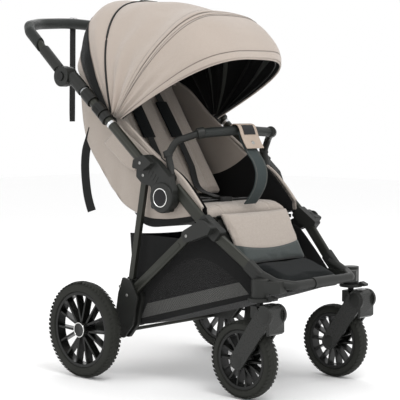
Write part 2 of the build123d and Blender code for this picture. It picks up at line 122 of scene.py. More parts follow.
class StrollerColours(bpy.types.PropertyGroup):
    canopy: colour_property("Canopy cloth", "Warm beige canvas", paint(178, 166, 156))
    seat: colour_property("Seat cloth", "Warm beige melange of the seat", paint(168, 158, 149))
    band: colour_property("Grey cloth", "Blue grey band and strap", paint(54, 62, 62))
    black_cloth: colour_property("Black cloth", "Lining, basket and footrest", paint(20, 21, 21))
    frame: colour_property("Frame lacquer", "Dark olive grey of the tubes", paint(48, 49, 44))
    plastic: colour_property("Moulded plastic", "Charcoal of the joints", paint(31, 32, 30))
    rim: colour_property("Wheel plastic", "Black of the rims", paint(12, 13, 11))
    rubber: colour_property("Tyre rubber", "Charcoal of the tyres", paint(34, 35, 31))
    leather: colour_property("Grip leather", "Charcoal leatherette", paint(26, 30, 28))
    tab: colour_property("Tab leather", "Beige leatherette of the bumper tab", paint(172, 156, 142))


# ---------------------------------------------------------------- shader expressions
class Signal:
    """An output of a material's node that works in arithmetic."""

    def __init__(self, finish, socket):
        self.finish = finish
        self.socket = socket

    def maths(self, operation, *values):
        return self.finish.node("ShaderNodeMath", {"operation": operation}, dict(enumerate(values)))

    def __add__(self, other):
        return self.maths("ADD", self, other)

    def __radd__(self, other):
        return self.maths("ADD", other, self)

    def __sub__(self, other):
        return self.maths("SUBTRACT", self, other)

    def __rsub__(self, other):
        return self.maths("SUBTRACT", other, self)

    def __mul__(self, other):
        return self.maths("MULTIPLY", self, other)

    def __rmul__(self, other):
        return self.maths("MULTIPLY", other, self)

    def __truediv__(self, other):
        return self.maths("DIVIDE", self, other)

    def __gt__(self, other):
        return self.maths("GREATER_THAN", self, other)

    def __lt__(self, other):
        return self.maths("LESS_THAN", self, other)

    def __abs__(self):
        return self.maths("ABSOLUTE", self)

    def sine(self):
        return self.maths("SINE", self)


class Finish:
    """A material made node by node."""

    def __init__(self, name, **constants):
        self.material = bpy.data.materials.new(name)
        self.material.use_nodes = True
        self.tree = self.material.node_tree
        self.shader = self.tree.nodes["Principled BSDF"]
        self.set(**constants)

    def node(self, kind, settings=None, sockets=None, output=0):
        made = self.tree.nodes.new(kind)
        for key, value in (settings or {}).items():
            if key == "stops":
                self.stops(made.color_ramp, value)
            else:
                setattr(made, key, value)
        for key, value in (sockets or {}).items():
            self.join(made.inputs[key], value)
        return Signal(self, made.outputs[output])

    def stops(self, ramp, stops):
        for index, (position, value) in enumerate(stops):
            element = ramp.elements[index] if index < 2 else ramp.elements.new(position)
            element.position = position
            element.color = (value, value, value, 1)

    def join(self, socket, value):
        if isinstance(value, Signal):
            self.tree.links.new(value.socket, socket)
        elif isinstance(value, tuple) and len(value) == 3 and socket.type == "RGBA":
            socket.default_value = (*value, 1)
        else:
            socket.default_value = value

    def set(self, **values):
        """Fill the shader's sockets: base_color=... goes to Base Color."""
        names = {"ior": "IOR", "specular_ior_level": "Specular IOR Level"}
        for key, value in values.items():
            self.join(self.shader.inputs[names.get(key, key.replace("_", " ").title())], value)

    def place(self):
        return self.node("ShaderNodeTexCoord", output="Object")

    def uv(self):
        return self.node("ShaderNodeTexCoord", output="UV")

    def part(self, vector, index):
        return self.node("ShaderNodeSeparateXYZ", None, {0: vector}, output=index)

    def parts(self, vector, *indexes):
        return [self.part(vector, index) for index in indexes]

    def stretch(self, vector, scale):
        return self.node("ShaderNodeMapping", None, {"Vector": vector, "Scale": scale})

    def grain(self, vector, scale, detail=2.0):
        return self.node("ShaderNodeTexNoise", None, {"Vector": vector, "Scale": scale, "Detail": detail})

    def blend(self, factor, first, second):
        return self.node("ShaderNodeMix", {"data_type": "RGBA"}, {0: factor, 6: first, 7: second}, output=2)

    def ramp(self, factor, *stops):
        return self.node("ShaderNodeValToRGB", {"stops": stops}, {0: factor})

    def bump(self, height, distance, strength=1.0):
        sockets = {"Height": height, "Distance": distance, "Strength": strength}
        self.set(normal=self.node("ShaderNodeBump", None, sockets))


def shade(colour, factor):
    return tuple(min(1.0, channel * factor) for channel in colour)


def sizes():
    return bpy.context.scene.stroller_sizes


def colours():
    return bpy.context.scene.stroller_colours


def lacquer(name, colour, metallic, roughness):
    """Satin lacquer on metal, with a faint orange peel and slow changes of tone."""
    made = Finish(name, metallic=metallic)
    place = made.place()
    cloud = made.grain(place, 14.0, 3.0)
    peel = made.grain(place, 900.0, 1.0)
    made.set(base_color=made.blend(cloud, shade(colour, 0.86), shade(colour, 1.16)))
    made.set(roughness=roughness - 0.06 + 0.12 * made.grain(place, 60.0, 4.0))
    made.bump(peel, 0.00012, 0.5)
    return made.material


def moulded(name, colour, roughness, depth):
    """Moulded plastic with a fine spark-eroded surface."""
    made = Finish(name, specular_ior_level=0.3)
    place = made.place()
    cloud = made.grain(place, 22.0, 4.0)
    spark = made.grain(place, 1500.0, 2.0)
    made.set(base_color=made.blend(cloud, shade(colour, 0.85), shade(colour, 1.18)))
    made.set(roughness=roughness - 0.08 + 0.16 * made.grain(place, 240.0, 3.0))
    made.bump(spark, depth, 0.8)
    return made.material


def rubber(name, colour):
    """Tyre rubber with a dusty bloom."""
    made = Finish(name, specular_ior_level=0.25)
    place = made.place()
    dust = made.ramp(made.grain(place, 18.0, 5.0), (0.35, 0.0), (0.75, 1.0))
    made.set(base_color=made.blend(dust * 0.5, shade(colour, 0.85), shade(colour, 1.3)))
    made.set(roughness=0.62 + 0.16 * made.grain(place, 120.0, 3.0))
    made.bump(made.grain(place, 1100.0, 2.0), 0.00015, 0.7)
    return made.material


def weave_height(u, v, pitch):
    """Threads that pass over and under each other, from 0 to 1."""
    turn = math.pi / pitch
    warp = abs((u * turn).sine())
    weft = abs((v * turn).sine())
    over = ((u * turn * 0.5).sine() * (v * turn * 0.5).sine()) > 0.0
    return over * warp + (1.0 - over) * weft


def cloth(name, colour, melange, pitch, sheen=0.35, depth=0.00022):
    """Woven cloth on the piece's own UV map in metres."""
    made = Finish(name, sheen_weight=sheen, sheen_roughness=0.45, specular_ior_level=0.2, roughness=0.85)
    uv = made.uv()
    u, v = made.parts(uv, 0, 1)
    threads = weave_height(u, v, pitch)
    slub_u = made.grain(made.stretch(uv, (90.0, 1400.0, 1.0)), 1.0, 3.0)
    slub_v = made.grain(made.stretch(uv, (1400.0, 90.0, 1.0)), 1.0, 3.0)
    cloud = made.grain(made.place(), 11.0, 3.0)
    fleck = made.ramp(slub_u * 0.5 + slub_v * 0.5, (0.36, 0.0), (0.64, 1.0))
    tone = made.blend(fleck, shade(colour, 1.0 - melange), shade(colour, 1.0 + melange))
    tone = made.blend(cloud * 0.35, tone, made.blend(fleck, shade(colour, 0.86), shade(colour, 0.98)))
    # Painted shade: the colour is darkened in the gaps between the threads.
    tone = made.blend((1.0 - threads) * 0.22, tone, shade(colour, 0.45))
    made.set(base_color=tone)
    made.bump(threads + 0.5 * fleck, depth, 0.75)
    return made.material


def soft_cloth(name, colour, melange, pitch, sheen=0.35, depth=0.0002, extra=None):
    """Woven cloth on a padded piece, where the threads follow the object's own axes."""
    made = Finish(name, sheen_weight=sheen, sheen_roughness=0.45, specular_ior_level=0.2, roughness=0.86)
    place = made.place()
    x, y, z = made.parts(place, 0, 1, 2)
    threads = weave_height(x, y * 0.8 + z * 0.75, pitch)
    slub_u = made.grain(made.stretch(place, (120.0, 1300.0, 1300.0)), 1.0, 3.0)
    slub_v = made.grain(made.stretch(place, (1300.0, 110.0, 110.0)), 1.0, 3.0)
    fleck = made.ramp(slub_u * 0.5 + slub_v * 0.5, (0.36, 0.0), (0.64, 1.0))
    tone = made.blend(fleck, shade(colour, 1.0 - melange), shade(colour, 1.0 + melange))
    if extra:
        tone = extra(made, x, z, fleck, tone)
    # Painted shade: the colour is darkened in the gaps between the threads.
    tone = made.blend((1.0 - threads) * 0.18, tone, shade(colour, 0.5))
    made.set(base_color=tone)
    made.bump(threads + 0.5 * fleck, depth, 0.75)
    return made.material


def webbing(name, colour, rib):
    """Narrow woven tape: ribs across and cords along, on the piece's UV map in metres."""
    made = Finish(name, sheen_weight=0.2, specular_ior_level=0.25, roughness=0.7)
    uv = made.uv()
    u, v = made.parts(uv, 0, 1)
    turn = 2 * math.pi / rib
    ribs = 0.5 + 0.5 * (v * turn).sine()
    cords = 0.5 + 0.5 * (u * turn * 1.4).sine()
    height = ribs * 0.6 + cords * 0.4
    # Painted highlight and shade: the raised ribs and cords are lighter and the grooves between them darker.
    made.set(base_color=made.blend(height, shade(colour, 0.6), shade(colour, 1.35)))
    made.bump(height, 0.0003, 0.8)
    return made.material


def leatherette(name, colour, roughness):
    """Grained leatherette: a net of small creases."""
    made = Finish(name, specular_ior_level=0.3, coat_weight=0.04, coat_roughness=0.4)
    place = made.place()
    cells = {"Vector": place, "Scale": 620.0}
    crease = made.node("ShaderNodeTexVoronoi", {"feature": "DISTANCE_TO_EDGE"}, cells)
    creased = made.ramp(crease, (0.0, 0.0), (0.22, 1.0))
    cloud = made.grain(place, 26.0, 4.0)
    tone = made.blend(cloud, shade(colour, 0.84), shade(colour, 1.18))
    # Painted shade: the creases of the grain are darkened.
    made.set(base_color=made.blend((1.0 - creased) * 0.3, tone, shade(colour, 0.55)))
    made.set(roughness=roughness + 0.14 * (1.0 - creased) + 0.08 * cloud)
    made.bump(creased, 0.00018, 0.7)
    return made.material


def net_alpha(a, b, pitch):
    """1 on the threads of a diamond net and 0 in its holes, from two coordinates in metres."""
    turn = 2 * math.pi / pitch
    first = ((a + b) * turn * 0.5).sine()
    second = ((a - b) * turn * 0.5).sine()
    return abs(first * second) < 0.42


def steel(name, colour, roughness):
    """Bright metal with fine turning marks."""
    made = Finish(name, metallic=1.0)
    place = made.place()
    mark = made.grain(place, 800.0, 3.0)
    made.set(base_color=made.blend(mark, shade(colour, 0.85), shade(colour, 1.1)))
    made.set(roughness=roughness - 0.05 + 0.12 * mark)
    made.bump(mark, 0.00005, 0.4)
    return made.material


FINISHES = {}


def finish(name):
    """A finish of this object by name, made when it is first asked for."""
    if name not in FINISHES:
        FINISHES[name] = FINISH_MAKERS[name](name)
    return FINISHES[name]


LEG_SEAM_HEIGHT = 0.366
LEG_SEAM_RISE = 0.016
LEG_SEAM_HALF = 0.142


def leg_rest_tones(made, x, z, fleck, tone):
    """The grey lower band of the leg rest, whose seam hangs lower in the middle."""
    side = abs(x) * (1 / LEG_SEAM_HALF)
    seam = LEG_SEAM_HEIGHT + LEG_SEAM_RISE * side * side
    grey = colours().band
    return made.blend(z < seam, tone, made.blend(fleck, shade(grey, 0.88), shade(grey, 1.12)))


def side_inside(name):
    """Beige cloth above and black mesh in the lower front corner, on the inside of the seat's sides."""
    made = Finish(name, specular_ior_level=0.15, roughness=0.85)
    place = made.place()
    y, z = made.parts(place, 1, 2)
    uv = made.uv()
    u, v = made.parts(uv, 0, 1)
    threads = net_alpha(u, v, 3.2 * MM)
    weave = weave_height(u, v, sizes().weave)
    mesh = z < (0.561 - 0.44 * y + 2.2 * y * y)
    cloud = made.grain(place, 16.0, 3.0)
    beige = made.blend(cloud, shade(colours().seat, 0.86), shade(colours().seat, 1.06))
    # Painted shade: the beige is darkened in the gaps between the threads.
    beige = made.blend((1.0 - weave) * 0.2, beige, shade(colours().seat, 0.5))
    # Painted shade: the holes of the mesh are painted near black, darker than its threads.
    black = made.blend(threads, paint(6, 6, 6), paint(26, 26, 26))
    made.set(base_color=made.blend(mesh, beige, black))
    made.bump(mesh * threads + (1.0 - mesh) * weave, 0.0003, 0.7)
    return made.material


def basket_wall(name):
    """Black cloth with an arched net window, whose lower part lets the light through; there the threads are painted
    light grey as painted light from behind.
    """
    made = Finish(name, specular_ior_level=0.15, sheen_weight=0.05)
    place = made.place()
    y, z = made.parts(place, 1, 2)
    along = (y + 0.205) / 0.175
    roof = 0.345 - along * along * 0.13 + (along * -0.018)
    floor = 0.162 - y * 0.272
    inside = (z < roof) * (z > floor)
    light = inside * (z < floor + 0.036)
    uv = made.uv()
    u, v = made.parts(uv, 0, 1)
    threads = net_alpha(u, v, sizes().mesh_hole)
    black = weave_height(u, v, sizes().weave)
    cloud = made.grain(place, 16.0, 3.0)
    cloth_tone = made.blend(cloud, paint(16, 17, 17), paint(28, 28, 28))
    # Painted shade: the holes of the net are painted near black, darker than its threads.
    net_tone = made.blend(threads, paint(8, 8, 8), paint(34, 34, 34))
    # Painted light: in the lower band the net's threads are painted light grey, as if lit from behind.
    bright = made.blend(threads, paint(20, 20, 20), paint(92, 92, 90))
    tone = made.blend(inside, cloth_tone, net_tone)
    made.set(base_color=made.blend(light, tone, bright))
    made.set(alpha=1.0 - inside * (1.0 - threads) * (0.25 + 0.55 * light))
    made.set(roughness=0.82 - 0.2 * inside)
    made.bump(inside * threads + (1.0 - inside) * black, 0.00035, 0.8)
    return made.material


FINISH_MAKERS = {
    "frame_metal": lambda name: lacquer(name, colours().frame, 0.55, 0.36),
    "cast_plastic": lambda name: moulded(name, colours().plastic, 0.46, 0.0002),
    "gloss_plastic": lambda name: moulded(name, colours().plastic, 0.28, 0.00006),
    "rim_plastic": lambda name: moulded(name, colours().rim, 0.30, 0.00006),
    "trim_plastic": lambda name: moulded(name, shade(colours().plastic, 0.5), 0.4, 0.0001),
    "badge_gloss": lambda name: moulded(name, (0.003, 0.003, 0.004), 0.2, 0.00002),
    "tyre_rubber": lambda name: rubber(name, colours().rubber),
    "canopy_cloth": lambda name: cloth(name, colours().canopy, 0.05, sizes().weave),
    "side_cloth": lambda name: cloth(name, shade(colours().seat, 1.04), 0.07, sizes().weave),
    "lining_cloth": lambda name: cloth(name, paint(12, 12, 12), 0.15, sizes().weave, 0.05),
    "binding_cloth": lambda name: cloth(name, paint(64, 66, 62), 0.12, sizes().weave, 0.1),
    "seat_cloth": lambda name: soft_cloth(name, colours().seat, 0.12, 1.4 * sizes().weave),
    "leg_rest_cloth": lambda name: soft_cloth(name, colours().seat, 0.12, 1.4 * sizes().weave,
                                              extra=leg_rest_tones),
    "foot_cloth": lambda name: soft_cloth(name, paint(18, 21, 22), 0.15, 1.4 * sizes().weave, 0.04),
    "grey_strap": lambda name: cloth(name, colours().band, 0.12, sizes().weave, 0.06),
    "black_twill": lambda name: cloth(name, colours().black_cloth, 0.16, sizes().weave, 0.08, 0.0003),
    "black_webbing": lambda name: webbing(name, paint(16, 17, 17), 2.2 * MM),
    "grip_leather": lambda name: leatherette(name, colours().leather, 0.36),
    "tab_leather": lambda name: leatherette(name, colours().tab, 0.5),
    "chrome": lambda name: steel(name, (0.82, 0.82, 0.80), 0.16),
    "bright_band": lambda name: steel(name, (0.72, 0.74, 0.76), 0.3),
    "pin_steel": lambda name: steel(name, (0.36, 0.36, 0.35), 0.34),
    "thread": lambda name: webbing(name, paint(104, 97, 90), 0.8 * MM),
    # Painted shade: a darkened canopy colour for the cords that stand for the shade in the seam lines.
    "seam_thread": lambda name: webbing(name, shade(colours().canopy, 0.42), 1.6 * MM),
    "side_inside": side_inside,
    "basket_wall": basket_wall,
}


# ---------------------------------------------------------------- making pieces
def piece(name, bm, material, slot=None, body=None, replaces=(), crease=32.0):
    """A finished mesh object from a bmesh, smooth across edges gentler than crease degrees."""
    mesh = bpy.data.meshes.new(name)
    bm.to_mesh(mesh)
    bm.free()
    made = bpy.data.objects.new(name, mesh)
    bpy.context.scene.collection.objects.link(made)
    mesh.materials.append(finish(material))
    mesh.polygons.foreach_set("use_smooth", [True] * len(mesh.polygons))
    mesh.set_sharp_from_angle(angle=math.radians(crease))
    if replaces:
        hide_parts(*replaces)
    if body:
        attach(made, body)
    return made


def sheet(name, bm, material, slot, thickness=None, offset=-1.0, crease=32.0):
    """A piece of cloth from an open bmesh, with its wall on the inside unless offset says otherwise."""
    made = piece(name, bm, material, slot, crease=crease)
    modifier(made, "SOLIDIFY", thickness=thickness or sizes().fabric, offset=offset)
    return made


def modifier(made, kind, **settings):
    added = made.modifiers.new(kind.title(), kind)
    for key, value in settings.items():
        setattr(added, key, value)
    return added


def round_edges(made, width, segments=2):
    modifier(made, "BEVEL", width=width, segments=segments, limit_method="ANGLE",
             angle_limit=math.radians(34), use_clamp_overlap=False, harden_normals=True)


def machined(node, material, slot, width=None):
    """A frame part with its edges rounded, in its finish; it stands for the plain node."""
    bm = bmesh.new()
    bm.from_mesh(frame["nodes"][node].data)
    bmesh.ops.remove_doubles(bm, verts=bm.verts, dist=1e-5)
    bmesh.ops.dissolve_limit(bm, angle_limit=math.radians(0.4), verts=bm.verts, edges=bm.edges)
    made = piece(node + "_finished", bm, material, slot, replaces=[node])
    round_edges(made, width or sizes().edge)
    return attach(made, body_of(node))


def body_of(node):
    """The frame body that a node belongs to."""
    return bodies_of(frame["nodes"][node])[0]


def patch(columns, rows, place, uv_size=None, closed=False):
    """A grid whose points go where place(u, v) says, u and v from 0 to 1, with a UV map in metres."""
    bm = bmesh.new()
    bmesh.ops.create_grid(bm, x_segments=columns, y_segments=rows, size=0.5)
    uv_layer = bm.loops.layers.uv.new("UVMap")
    width, height = uv_size or (1.0, 1.0)
    where = {vert: (vert.co.x + 0.5, vert.co.y + 0.5) for vert in bm.verts}
    for face in bm.faces:
        for loop in face.loops:
            u, v = where[loop.vert]
            loop[uv_layer].uv = (u * width, v * height)
    for vert, (u, v) in where.items():
        vert.co = place(u, v)
    if closed:
        bmesh.ops.remove_doubles(bm, verts=bm.verts, dist=2e-5)
    bmesh.ops.recalc_face_normals(bm, faces=bm.faces)
    return bm


def face_towards(bm, direction):
    """Turn an open sheet over if most of it looks away from a direction."""
    total = sum((face.normal * face.calc_area() for face in bm.faces), Vector())
    if total.dot(Vector(direction)) < 0:
        bmesh.ops.reverse_faces(bm, faces=bm.faces)
    return bm


def curve_point(points, t):
    """A point on a smooth line through points, t from 0 to 1."""
    spans = len(points) - 1
    index = min(int(t * spans), spans - 1)
    s = t * spans - index
    p1, p2 = Vector(points[index]), Vector(points[index + 1])
    p0 = Vector(points[index - 1]) if index else p1 * 2 - p2
    p3 = Vector(points[index + 2]) if index + 2 <= spans else p2 * 2 - p1
    return 0.5 * (2 * p1 + (p2 - p0) * s + (2 * p0 - 5 * p1 + 4 * p2 - p3) * s * s
                  + (3 * p1 - p0 - 3 * p2 + p3) * s * s * s)


def between(first, second, u, v):
    """A point on the sheet that two smooth lines span, u along them and v from the first to the second."""
    return curve_point(first, u).lerp(curve_point(second, u), v)


def line_length(points, steps=60):
    marks = [curve_point(points, i / steps) for i in range(steps + 1)]
    return sum((b - a).length for a, b in zip(marks, marks[1:]))


def millimetres(points):
    return [tuple(c * MM for c in point) for point in points]


def middle_line(points):
    """A line in the plane of symmetry from (y, z) in millimetres."""
    return [(0.0, y * MM, z * MM) for y, z in points]


def tube(name, points, radius, material, slot, sides=12, per_span=6):
    """A round cord or rod along a smooth line, closed at both ends."""
    rows = per_span * (len(points) - 1)
    length = line_length(points)

    def place(u, v):
        centre = curve_point(points, v)
        ahead = (curve_point(points, min(1, v + 0.01)) - curve_point(points, max(0, v - 0.01))).normalized()
        side = ahead.cross(Vector((0, 0, 1)) if abs(ahead.z) < 0.9 else Vector((1, 0, 0))).normalized()
        lift = side.cross(ahead)
        turn = 2 * math.pi * u
        return centre + radius * (math.cos(turn) * side + math.sin(turn) * lift)

    bm = patch(sides, rows, place, (2 * math.pi * radius, length), closed=True)
    bmesh.ops.holes_fill(bm, edges=[edge for edge in bm.edges if edge.is_boundary], sides=0)
    bmesh.ops.recalc_face_normals(bm, faces=bm.faces)
    return piece(name, bm, material, slot)


def band(name, points, across, width, material, slot, thickness=1.6 * MM, per_span=8, columns=6, cup=0.0):
    """A flat strap along a smooth line; across is the direction of its width."""
    side = Vector(across).normalized()
    length = line_length(points)

    def place(u, v):
        centre = curve_point(points, v)
        ahead = (curve_point(points, min(1, v + 0.01)) - curve_point(points, max(0, v - 0.01))).normalized()
        lift = ahead.cross(side).normalized()
        flat = (side - ahead * side.dot(ahead)).normalized()
        return centre + flat * width * (u - 0.5) + lift * cup * (2 * u - 1) ** 2

    bm = patch(columns, per_span * (len(points) - 1), place, (width, length))
    made = sheet(name, bm, material, slot, thickness, offset=0.0)
    round_edges(made, 0.3 * thickness)
    return made


def turned(outline, centre, x_sign=1.0, steps=48):
    """A part turned about an axle along X; outline is (x, radius) from one end of the axis to the other."""
    bm = bmesh.new()
    y, z = centre
    verts = [bm.verts.new((x_sign * x, y, z + radius)) for x, radius in outline]
    edges = [bm.edges.new(pair) for pair in zip(verts, verts[1:])]
    bmesh.ops.spin(bm, geom=verts + edges, cent=(0, y, z), axis=(1, 0, 0), angle=2 * math.pi,
                   steps=steps, use_merge=True, use_duplicate=False)
    bmesh.ops.remove_doubles(bm, verts=bm.verts, dist=1e-6)
    bmesh.ops.recalc_face_normals(bm, faces=bm.faces)
    return bm


def join_into(bm, other):
    """Add the contents of another bmesh, then free it."""
    mesh = bpy.data.meshes.new("joining")
    other.to_mesh(mesh)
    other.free()
    bm.from_mesh(mesh)
    bpy.data.meshes.remove(mesh)
    return bm


def box_along(start, end, wide, thick, side=(1, 0, 0), corner=0.4 * MM):
    """A beveled bar between two points; thick is measured along side."""
    a, b = Vector(start), Vector(end)
    ahead = (b - a).normalized()
    across = (Vector(side) - ahead * ahead.dot(Vector(side))).normalized()
    third = ahead.cross(across)
    bm = bmesh.new()
    bmesh.ops.create_cube(bm, size=1.0)
    turn = Matrix((across * thick, third * wide, ahead * (b - a).length)).transposed().to_4x4()
    bmesh.ops.transform(bm, matrix=Matrix.Translation((a + b) / 2) @ turn, verts=bm.verts)
    bmesh.ops.bevel(bm, geom=bm.edges[:], offset=corner, affect="EDGES", segments=2, profile=0.5, material=-1)
    bmesh.ops.recalc_face_normals(bm, faces=bm.faces)
    return bm


def round_bar(start, end, radius, segments=32):
    """A closed round bar between two points."""
    bm = bmesh.new()
    a, b = Vector(start), Vector(end)
    bmesh.ops.create_cone(bm, cap_ends=True, segments=segments, radius1=radius, radius2=radius,
                          depth=(b - a).length)
    turn = (b - a).to_track_quat("Z", "Y").to_matrix().to_4x4()
    bmesh.ops.transform(bm, matrix=Matrix.Translation((a + b) / 2) @ turn, verts=bm.verts)
    return bm


def screw_head(centre, x_face, outward, radius=4.2 * MM):
    """A domed screw with a socket, on a face that looks along X."""
    dome = [(0.0, radius), (0.7 * MM, radius), (1.6 * MM, radius * 0.8), (1.9 * MM, radius * 0.5),
            (0.9 * MM, radius * 0.42), (0.9 * MM, 0.0)]
    outline = [(x_face + outward * x, r) for x, r in dome]
    return turned(outline, centre, 1.0, 20)


def lerp(a, b, t):
    return a + (b - a) * t


def smooth(t):
    t = max(0.0, min(1.0, t))
    return t * t * (3 - 2 * t)


def ripple(point, scale, seed=0.0):
    """Soft folds from -1 to 1, the same at every run."""
    return noise.noise(Vector(point) * scale + Vector((seed, seed * 1.7, seed * 0.3)))


class StrollerOperator(bpy.types.Operator):
    """Shared base of the piece operators."""
    bl_options = {"REGISTER"}

    def execute(self, context):
        self.make()
        return {"FINISHED"}


# ---------------------------------------------------------------- stage
CAMERA_AT = Vector((-2.6074, -2.4773, 0.7192))
CAMERA_AXES = ((0.6816, -0.7317, 0.0), (0.0492, 0.0458, 0.9977), (-0.7300, -0.6801, 0.0672))


class STROLLER_OT_stage(StrollerOperator):
    """Pale floor, soft lights and the camera"""
    bl_idname = "stroller.stage"
    bl_label = "Stage"

    def make(self):
        scene = bpy.context.scene
        self.camera(scene)
        self.floor()
        world = bpy.data.worlds.new("studio")
        world.use_nodes = True
        background = world.node_tree.nodes["Background"]
        background.inputs["Color"].default_value = (1.0, 1.0, 1.0, 1.0)
        background.inputs["Strength"].default_value = 1.0
        scene.world = world
        scene.view_settings.view_transform = "Standard"
        self.lamp("key_light", (-0.9, -2.2, 3.4), 1.4, 46.0)
        self.lamp("front_light", (1.4, -3.2, 1.8), 2.0, 10.0)
        self.lamp("left_light", (-3.4, 0.8, 2.0), 1.6, 14.0)
        self.lamp("back_light", (1.8, 2.6, 2.8), 2.0, 18.0)

    def camera(self, scene):
        lens = bpy.data.cameras.new("camera")
        lens.lens = 115.08
        lens.sensor_width = 36.0
        lens.clip_end = 60.0
        camera = bpy.data.objects.new("camera", lens)
        axes = Matrix(CAMERA_AXES).transposed()
        camera.matrix_world = Matrix.Translation(CAMERA_AT) @ axes.to_4x4()
        scene.collection.objects.link(camera)
        scene.camera = camera

    def floor(self):
        bm = bmesh.new()
        bmesh.ops.create_grid(bm, x_segments=8, y_segments=8, size=9.0)
        bmesh.ops.translate(bm, verts=bm.verts, vec=(0, 0, -0.0005))
        mesh = bpy.data.meshes.new("floor")
        bm.to_mesh(mesh)
        bm.free()
        floor = bpy.data.objects.new("floor", mesh)
        bpy.context.scene.collection.objects.link(floor)
        pale = Finish("pale_floor", roughness=0.9, specular_ior_level=0.1, base_color=(0.97, 0.97, 0.97))
        mesh.materials.append(pale.material)

    def lamp(self, name, at, size, power):
        light = bpy.data.lights.new(name, "AREA")
        light.size = size
        light.energy = power
        lamp = bpy.data.objects.new(name, light)
        aim = Vector((0, 0, 0.5)) - Vector(at)
        lamp.matrix_world = Matrix.Translation(at) @ aim.to_track_quat("-Z", "Y").to_matrix().to_4x4()
        bpy.context.scene.collection.objects.link(lamp)


# ---------------------------------------------------------------- frame
TUBE_LOW = (-64 * MM, 586 * MM)
TUBE_HIGH = (222 * MM, 823 * MM)
TUBE_X = 232 * MM
HUB = (-124 * MM, 500 * MM)
LINK_FRONT = (-213 * MM, 405 * MM)
LINK_REAR = (7 * MM, 230 * MM)


def on_tube(fraction):
    return tuple(lerp(low, high, fraction) for low, high in zip(TUBE_LOW, TUBE_HIGH))


class STROLLER_OT_frame(StrollerOperator):
    """Tubes, brackets, castings and pedals in lacquer and moulded plastic"""
    bl_idname = "stroller.frame"
    bl_label = "Frame"

    def make(self):
        for node in ("side_tubes", "front_legs", "rear_struts", "rear_axle_tube", "braces", "handle_tube"):
            machined(node, "frame_metal", "frame_metal")
        for node in ("front_crossbar", "bumper_bar"):
            machined(node, "cast_plastic", "frame_metal")
        machined("frame_locks", "trim_plastic", "frame_plastic")
        for node in ("hub_brackets", "handle_joints", "handle_arms", "leg_joint_blocks",
                     "corner_castings", "rear_housings", "brake_pedal", "seat_pan", "back_board",
                     "leg_rest_board"):
            machined(node, "cast_plastic", "frame_plastic")
        for node in ("fold_slider_left", "fold_slider_right", "tilt_button_left", "tilt_button_right",
                     "swivel_lock_left", "swivel_lock_right", "buckle_button", "harness_buckle"):
            machined(node, "trim_plastic", "frame_plastic", 0.6 * MM)
        for node in ("rear_axle_pins", "fork_pins_left", "fork_pins_right"):
            machined(node, "pin_steel", "steel")
        for node in ("front_bow", "visor_wire"):
            machined(node, "trim_plastic", "frame_plastic", 0.2 * MM)
        for side, sign in SIDES:
            self.channels(side, sign)
            self.bands(side, sign)
            self.screws(side, sign)
            self.ribs(side, sign)

    def channels(self, side, sign):
        """The raised face along the lower legs and braces, which leaves a groove each side."""
        knee = (201.6 * MM * sign, -280 * MM, 412 * MM)
        foot = (167.0 * MM * sign, -372 * MM, 333 * MM)
        leg = box_along(knee, foot, 15 * MM, 1.6 * MM)
        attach(piece("leg_channel_" + side, leg, "frame_metal", "frame_metal"), "front_frame")
        x = 224.0 * MM * sign
        brace = box_along((x, LINK_FRONT[0] + 30 * MM, LINK_FRONT[1] - 24 * MM),
                          (x, LINK_REAR[0] - 25 * MM, LINK_REAR[1] + 20 * MM), 12 * MM, 1.6 * MM)
        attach(piece("brace_channel_" + side, brace, "frame_metal", "frame_metal"), "brace_links")

    def bands(self, side, sign):
        """Bright bands where the frame tube leaves its locks."""
        bm = bmesh.new()
        for fraction in (0.44, 0.83):
            a, b = on_tube(fraction - 0.011), on_tube(fraction + 0.011)
            join_into(bm, round_bar((TUBE_X * sign, *a), (TUBE_X * sign, *b), 13.5 * MM))
        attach(piece("tube_bands_" + side, bm, "bright_band", "steel"), "seat_frame")

    def screws(self, side, sign):
        spots = (
            ("leg_screw", [(LINK_FRONT, 230.0)], "front_frame"),
            ("housing_screw", [(LINK_REAR, 231.0), ((34 * MM, 252 * MM), 231.0)], "rear_frame"),
            ("bracket_screw", [((-55 * MM, 557 * MM), 229.0), ((-60 * MM, 590 * MM), 246.5)], "seat_frame"),
        )
        for name, places, body in spots:
            bm = bmesh.new()
            for centre, x in places:
                join_into(bm, screw_head(centre, x * MM * sign, sign))
            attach(piece(f"{name}_{side}", bm, "pin_steel", "steel"), body)

    def ribs(self, side, sign):
        """Short grip ribs on the bracket above the hub and on the locks of the frame tube."""
        bm = bmesh.new()
        for i in range(4):
            y = (-112 + 9 * i) * MM
            z = (553 + 7.4 * i) * MM
            x = 229.2 * MM * sign
            join_into(bm, box_along((x, y, z), (x, y + 13 * MM, z - 15.6 * MM), 3 * MM, 1.4 * MM))
        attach(piece("bracket_ribs_" + side, bm, "cast_plastic", "frame_plastic"), "seat_frame")
        bm = bmesh.new()
        for i in range(5):
            middle = on_tube(0.58 + 0.013 * i)
            x = (TUBE_X + 17.4 * MM) * sign
            ahead = Vector((0, TUBE_HIGH[0] - TUBE_LOW[0], TUBE_HIGH[1] - TUBE_LOW[1])).normalized()
            cross = Vector((0, -ahead.z, ahead.y)) * 7 * MM
            centre = Vector((x, *middle))
            join_into(bm, box_along(centre - cross, centre + cross, 1.8 * MM, 1.6 * MM))
        made = piece("slider_ribs_" + side, bm, "trim_plastic", "frame_plastic")
        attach(made, "fold_slider_" + side)


